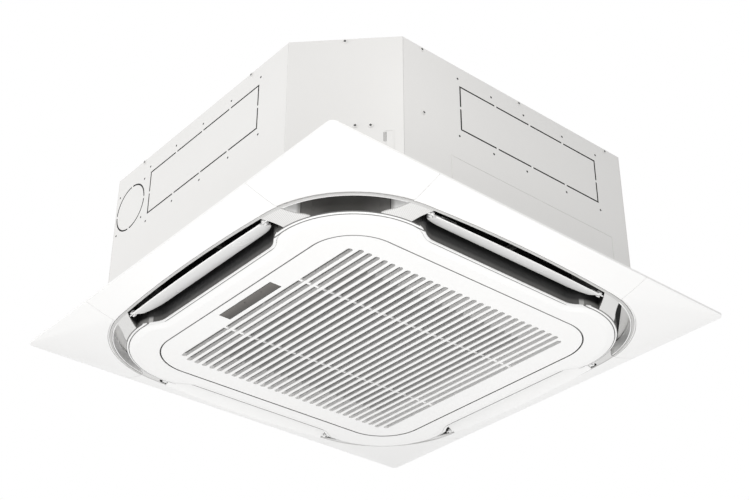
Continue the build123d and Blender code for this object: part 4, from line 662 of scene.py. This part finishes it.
low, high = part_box("display_window")
smoked, tree, shader = finish_of("smoked_window", smoke_dark, 0.16, coat=0.5)
across, along, _ = axes(tree)
inwards = step(tree, across, low[0] + lit_from, high[0] - lit_to)
colour = between(tree, inwards, smoke_lit, smoke_dark)
lit = math_node(tree, "MULTIPLY", step(tree, along, high[1], low[1]), 0.5)
colour = between(tree, lit, colour, smoke_lit)
start, end = line_width, line_width + line_soft
inside_x = band(tree, across, low[0] + start, high[0] - end, line_soft)
inside_y = band(tree, along, low[1] + start, high[1] - end, line_soft)
inside = math_node(tree, "MULTIPLY", inside_x, inside_y)
colour = between(tree, inside, smoke_line, colour)
tone_over(tree, shader, colour, 60.0, 0.25)
dress(smoked, "display_window")
print("window dressed, from", tuple(low), "to", tuple(high))

# %% [markdown]
# ## Sheet metal
# The body is pale coated sheet: almost white, with a faint metallic sheen and slow
# changes of tone. Its outer faces and its bottom flange keep that colour. Every other
# face, such as the cut edges of the slits and holes, is painted shade, near black, so a
# mask follows how far out a place lies. Brackets and covers inside are plain
# zinc-coated sheet, whose spangle shows as patches of slightly different grey.

# %% Coated sheet of the body
sheet_white = (0.76, 0.753, 0.74)
# painted shade: the cut edges and inner faces of the sheet, so the slits look black
cut_shade = (0.02, 0.0195, 0.019)
side_face = (0.4197, 0.4199)  # how far out the coated sides lie
corner_face = (0.6994, 0.6997)  # the same for the cut-off corners, as X plus Y
flange_top = (0.05, 0.051)

coated, tree, shader = finish_of("coated_sheet", sheet_white, 0.42, 0.15)
wide, deep, up = from_middle(tree)
on_side = step(tree, math_node(tree, "MAXIMUM", wide, deep), *side_face)
on_corner = step(tree, math_node(tree, "ADD", wide, deep), *corner_face)
on_face = math_node(tree, "MAXIMUM", on_side, on_corner)
on_flange = math_node(tree, "SUBTRACT", 1.0, step(tree, up, *flange_top))
painted = math_node(tree, "MAXIMUM", on_face, on_flange)
colour = between(tree, painted, cut_shade, sheet_white)
node = tone_over(tree, shader, colour, 3.0, 0.05)
surface = effect(tree, grain, Scale=700.0, Height=0.06)
tree.links.new(surface.outputs["Normal"], shader.inputs["Normal"])
roughness_from(tree, shader, node.outputs["Value"], 0.36, 0.5)
dress(coated, "casing")
print("casing dressed")

# %% Zinc-coated sheet
zinc_dark = (0.5, 0.51, 0.52)
zinc_light = (0.68, 0.69, 0.7)

zinc, tree, shader = finish_of("zinc_sheet", (0.6, 0.61, 0.62), 0.4, 0.85)
spangle = effect(tree, cells, Scale=90.0, Height=0.02)
colour = between(tree, spangle.outputs["Tone"], zinc_dark, zinc_light)
tree.links.new(colour, shader.inputs["Base Color"])
roughness_from(tree, shader, spangle.outputs["Tone"], 0.3, 0.48)
dress(zinc, "top_plate", "coil_end_plates", "coil_partition", "pipe_plate")
dress(zinc, "control_box", "control_box_cover")
dress(zinc, *["hanger_bracket_" + corner for corner in corners])
print("zinc-coated sheet dressed")

# %% [markdown]
# ## Foam
# The liner, the drain pan and the foam round the air outlets are moulded from expanded
# polystyrene. Its beads, about four millimetres across, are pressed together and show
# as faint cells. Where the foam meets the casing and the air outlets, and below a height,
# it carries painted shade: black, and a lighter grey at the ends of the outlets, so the
# slits of the knockouts and the outlets look black. The painted shade is a mask by
# place, so the foam stays one moulding.

# %% Bead foam and its painted shade
# painted shade on the foam: black, and a lighter grey at the outlets' ends
foam_shade_black = (0.012, 0.012, 0.012)
foam_shade_grey = (0.14, 0.138, 0.134)
bead_middle = (0.84, 0.838, 0.83)
bead_edge = (0.72, 0.718, 0.71)
foam_side = (0.4155, 0.417)  # how far out the painted shade on the foam's sides starts
foam_corner = (0.693, 0.6955)  # the same for the cut-off corners, as X plus Y
outlet_start = (0.33, 0.335)
outlet_ends = (0.178, 0.243)  # where the painted shade at an outlet's ends is a lighter grey
pan_shade_top = 0.0465  # painted shade covers what is lower
outlet_shade_top = 0.096


def bead_foam(name, shade_top):
    """Foam with cells for its beads, and painted shade on its outer faces and below a
    height.
    """
    made, tree, shader = finish_of(name, (0.8, 0.8, 0.79), 0.75)
    beads = effect(tree, cells, Scale=260.0, Height=0.35)
    colour = between(tree, beads.outputs["Edge"], bead_middle, bead_edge)
    wide, deep, _ = from_middle(tree)
    furthest = math_node(tree, "MAXIMUM", wide, deep)
    nearest = math_node(tree, "MINIMUM", wide, deep)
    on_side = step(tree, furthest, *foam_side)
    on_corner = step(tree, math_node(tree, "ADD", wide, deep), *foam_corner)
    outer_faces = math_node(tree, "MAXIMUM", on_side, on_corner)
    by_outlet = step(tree, furthest, *outlet_start)
    at_end = math_node(tree, "MULTIPLY", band(tree, nearest, *outlet_ends), by_outlet)
    foam_shade = between(tree, at_end, foam_shade_black, foam_shade_grey)
    above = effect(tree, heights, From=shade_top, To=shade_top + 0.001)
    colour = between(tree, above.outputs["Mask"], foam_shade, colour)
    colour = between(tree, outer_faces, colour, foam_shade_black)
    tone_over(tree, shader, colour, 8.0, 0.1)
    tree.links.new(beads.outputs["Normal"], shader.inputs["Normal"])
    return made


dress(bead_foam("bead_foam", pan_shade_top), "insulation_liner", "drain_pan")
dress(bead_foam("shade_painted_foam", outlet_shade_top), "outlet_foam")
print("foam dressed")

# %% [markdown]
# ## Coil, tubes and fittings
# The coil's aluminium fins are thin plates stood on edge, so its faces are rows of
# upright lines. Real fins are about 1.6 millimetres apart. The lines have twice that
# pitch, so that they still show in a picture. The tubes are copper and the unions brass.

# %% Aluminium fins
# painted shade: the gaps between the fins are dark
fin_gap_shade = (0.2, 0.21, 0.22)
fin_light = (0.7, 0.72, 0.75)
fin_pitch = 0.0032

fin_stack, tree, shader = finish_of("fin_stack", (0.62, 0.64, 0.67), 0.38, 0.9)
across, along, _ = axes(tree)
fins = effect(tree, rows, Pitch=fin_pitch, Depth=0.7)
tree.links.new(math_node(tree, "ADD", across, along), fins.inputs["Along"])
tree.links.new(fins.outputs["Normal"], shader.inputs["Normal"])
colour = between(tree, fins.outputs["Mask"], fin_gap_shade, fin_light)
tree.links.new(colour, shader.inputs["Base Color"])
dress(fin_stack, "coil_fins")
print("coil fins dressed")

# %% Copper, brass and steel
def metal(name, colour, roughness, scale, amount):
    """Bare metal with a slow change of tone and sheen."""
    made, tree, shader = finish_of(name, colour, roughness, 1.0)
    node = tone_to(tree, shader, colour, scale, amount)
    low, high = roughness - 0.08, roughness + 0.12
    roughness_from(tree, shader, node.outputs["Value"], low, high)
    return made


copper = metal("copper_tube", (0.72, 0.36, 0.22), 0.3, 40.0, 0.3)
brass = metal("brass_fitting", (0.74, 0.55, 0.26), 0.28, 60.0, 0.2)
steel = metal("plated_steel", (0.56, 0.57, 0.58), 0.3, 80.0, 0.15)
dress(copper, "coil_tubes")
dress(brass, "gas_union", "liquid_union")
dress(steel, "motor_shaft", "fan_nut", "motor_nuts", "panel_screws")
dress(coated, "casing_screws")
print("metals dressed")

# %% Rubber, hose and circuit boards
rubber = moulding("black_rubber", (0.025, 0.025, 0.026), 0.75, 0.3)
hose = moulding("grey_hose", (0.2, 0.21, 0.22), 0.35, 0.1)
board = moulding("circuit_board", (0.02, 0.12, 0.05), 0.4, 0.25)
dress(rubber, "cable_grommets", "drain_plug", "motor_mounts")
dress(hose, "pump_hose")
dress(board, "control_board", "display_board")
print("rubber, hose and boards dressed")

# %% [markdown]
# ## Small parts of the outlets
# Each flap turns on pins, and a white clip shaped like a C holds each pin beside the end
# of the outlet. Further in, foam ribs cross the air outlets and two thin rails run along
# their inner walls. They're the same on all four sides, so one function takes a place
# on the right-hand side and turns it to the others by quarter turns.

# %% Tools for the small parts
def turned(across, along, up, quarter):
    """Point given on the right-hand side, turned by quarters about the middle."""
    for _ in range(quarter):
        across, along = -along, across
    return across, along, up


def piece(name, points, faces, material, body="housing"):
    """New mesh piece from points in metres that rides on a body."""
    data = bpy.data.meshes.new(name)
    data.from_pydata(points, [], faces)
    data.materials.append(material)
    data.update()
    made = bpy.data.objects.new(name, data)
    bpy.context.scene.collection.objects.link(made)
    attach(made, body)
    return made


def bar(low, high, quarter):
    """Points and faces of a bar between two corners on the right-hand side."""
    points = [
        turned(x, y, z, quarter)
        for z in (low[2], high[2])
        for x, y in (low[:2], (high[0], low[1]), high[:2], (low[0], high[1]))
    ]
    around = [(0, 1, 5, 4), (1, 2, 6, 5), (2, 3, 7, 6), (3, 0, 4, 7)]
    return points, [(3, 2, 1, 0), (4, 5, 6, 7)] + around


def joined(parts):
    """One list of points and faces from several."""
    points, faces = [], []
    for some_points, some_faces in parts:
        first = len(points)
        points += some_points
        faces += [tuple(first + index for index in face) for face in some_faces]
    return points, faces


print("tools for small parts ready")

# %% Pivot clips
flap_axis_x = 0.400428
flap_axis_z = 0.0195
clip_inner = 0.0021
clip_outer = 0.0058
clip_start = 0.2015  # from the middle of the side
clip_end = 0.2075
clip_facing = -60  # degrees, the middle of the open part
clip_gap = 70  # degrees left open
clip_steps = 20
clip_edge = 0.0005


def clip(sign, quarter):
    """C-shaped ring round a flap's pin, with a square section."""
    points, faces = [], []
    for count in range(clip_steps + 1):
        turned_by = clip_gap / 2 + (360 - clip_gap) * count / clip_steps
        angle = math.radians(clip_facing + turned_by)
        for radius, along in (
            (clip_inner, clip_start),
            (clip_outer, clip_start),
            (clip_outer, clip_end),
            (clip_inner, clip_end),
        ):
            across = flap_axis_x + radius * math.cos(angle)
            up = flap_axis_z + radius * math.sin(angle)
            points.append(turned(across, sign * along, up, quarter))
        if count:
            near, far = 4 * (count - 1), 4 * count
            for side in range(4):
                follow = (side + 1) % 4
                faces.append((near + side, near + follow, far + follow, far + side))
    last = 4 * clip_steps
    faces += [(3, 2, 1, 0), (last, last + 1, last + 2, last + 3)]
    if sign < 0:
        faces = [tuple(reversed(face)) for face in faces]
    return points, faces


clips = joined([clip(sign, quarter) for quarter in range(4) for sign in (-1, 1)])
pivot_clips = piece("pivot_clips", *clips, flap_white)
bevel = pivot_clips.modifiers.new("edges", "BEVEL")
bevel.width = clip_edge
bevel.segments = 2
print(len(clips[1]), "faces in the pivot clips")

# %% Dots on the signal window
dot_places = ((-0.2856, 0.0108), (-0.2859, -0.0397))
dot_radius = 0.0016
dot_points = 24
face_lift = 0.00005  # keeps a flat piece off the face it lies on
window_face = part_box("display_window")[0][2] - face_lift

dots = []
for x, y in dot_places:
    ring = []
    for count in range(dot_points):
        angle = -2 * math.pi * count / dot_points  # this way round, the disc faces down
        across = x + dot_radius * math.cos(angle)
        along = y + dot_radius * math.sin(angle)
        ring.append((across, along, window_face))
    dots.append((ring, [tuple(range(dot_points))]))
dot_black = moulding("dot_black", (0.012, 0.011, 0.01), 0.3)
piece("window_dots", *joined(dots), dot_black, "grille")
print(len(dots), "dots on the window")

# %% Foam ribs and rails in the air outlets
rib_places = (0.039, 0.018, 0.039, 0.018)  # from the middle: right, rear, left, front
rib_half = 0.005
rib_start = 0.3582
rib_end = 0.4005
rib_bottom = 0.056
rib_top = 0.064
rail_places = ((-0.142, 0.060), (-0.136, 0.0535))  # where it starts, and its height
rail_length = 0.034
rail_start = 0.3583
rail_end = 0.3606
rail_height = 0.0022

ribs = []
rails = []
for quarter, place in enumerate(rib_places):
    low = (rib_start, place - rib_half, rib_bottom)
    high = (rib_end, place + rib_half, rib_top)
    ribs.append(bar(low, high, quarter))
    for start, up in rail_places:
        low = (rail_start, start, up)
        high = (rail_end, start + rail_length, up + rail_height)
        rails.append(bar(low, high, quarter))
rib_grey = moulding("rib_grey", (0.16, 0.157, 0.15), 0.6, 0.2)
rail_light = moulding("rail_light", (0.7, 0.69, 0.675), 0.4, 0.05)
piece("outlet_ribs", *joined(ribs), rib_grey)
piece("outlet_rails", *joined(rails), rail_light)
print("ribs and rails in four outlets")

# %% [markdown]
# ## Screw recesses
# The casing's screws have painted heads, so only their recesses show. Their shade is
# painted as small flat dark crosses. The heads are in the imported solids. Their points,
# sorted by how near they lie to each other, give one middle and one outer face for each
# head, and a flat cross is laid on that face.

# %% Screw recesses
head_reach = 0.012  # points nearer than this belong to one head
head_rise = 0.0008  # of a head's middle above the sheet
body_half = 0.42
corner_half = 0.70 / math.sqrt(2)
cross_reach = 0.0024
cross_half = 0.0011

heads = []
for vertex in nodes["casing_screws"].data.vertices:
    spot = vertex.co.copy()
    for head in heads:
        if (head[0] - spot).length < head_reach:
            head.append(spot)
            break
    else:
        heads.append([spot])

cross = []
arm = ((cross_half, cross_reach), (-cross_half, cross_reach), (-cross_half, cross_half))
for _ in range(4):
    cross += arm
    arm = [(-y, x) for x, y in arm]

sheets = (
    (Vector((-1, 0, 0)), body_half),
    (Vector((0, -1, 0)), body_half),
    (Vector((-1, -1, 0)).normalized(), corner_half),
)
crosses = []
for head in heads:
    centre = sum(head, Vector()) / len(head)
    misses = [abs(centre.dot(way) - out - head_rise) for way, out in sheets]
    facing = sheets[misses.index(min(misses))][0]
    face = max(spot.dot(facing) for spot in head) + face_lift
    centre += facing * (face - centre.dot(facing))
    beside = facing.cross(Vector((0, 0, 1)))
    points = [tuple(centre + beside * x + Vector((0, 0, y))) for x, y in cross]
    crosses.append((points, [tuple(range(len(cross)))]))
# painted shade: the flat dark crosses stand in for the shade in the recesses
recess_shade = moulding("recess_shade", (0.03, 0.03, 0.03), 0.6, 0.1)
piece("screw_recesses", *joined(crosses), recess_shade)
print(len(crosses), "screw recesses")

# %% [markdown]
# ## Floor
# The studio's floor is a wide pale sheet far below the unit. The camera looks up from
# under the panel, so the sheet has to be clear from below: its material is transparent
# on the side that faces away from the unit. It is part of the stage, not of the unit.

# %% Floor
floor_z = -2.6
floor_half = 14.0
floor_white = (0.8, 0.8, 0.8)
outline = [(-1, -1), (1, -1), (1, 1), (-1, 1)]
points = [(floor_half * x, floor_half * y, floor_z) for x, y in outline]
mesh = bpy.data.meshes.new("floor")
mesh.from_pydata(points, [], [(0, 1, 2, 3)])
floor = bpy.data.objects.new("floor", mesh)
bpy.context.scene.collection.objects.link(floor)
pale_floor, tree, shader = finish_of("pale_floor", floor_white, 0.8)
tone_to(tree, shader, floor_white, 0.5, 0.02)
clear = tree.nodes.new("ShaderNodeBsdfTransparent")
which_side = tree.nodes.new("ShaderNodeNewGeometry")
choose = tree.nodes.new("ShaderNodeMixShader")
out = tree.nodes["Material Output"]
tree.links.new(which_side.outputs["Backfacing"], choose.inputs["Fac"])
tree.links.new(shader.outputs[0], choose.inputs[1])
tree.links.new(clear.outputs[0], choose.inputs[2])
tree.links.new(choose.outputs[0], out.inputs["Surface"])
mesh.materials.append(pale_floor)
print("floor at", floor_z, "m")
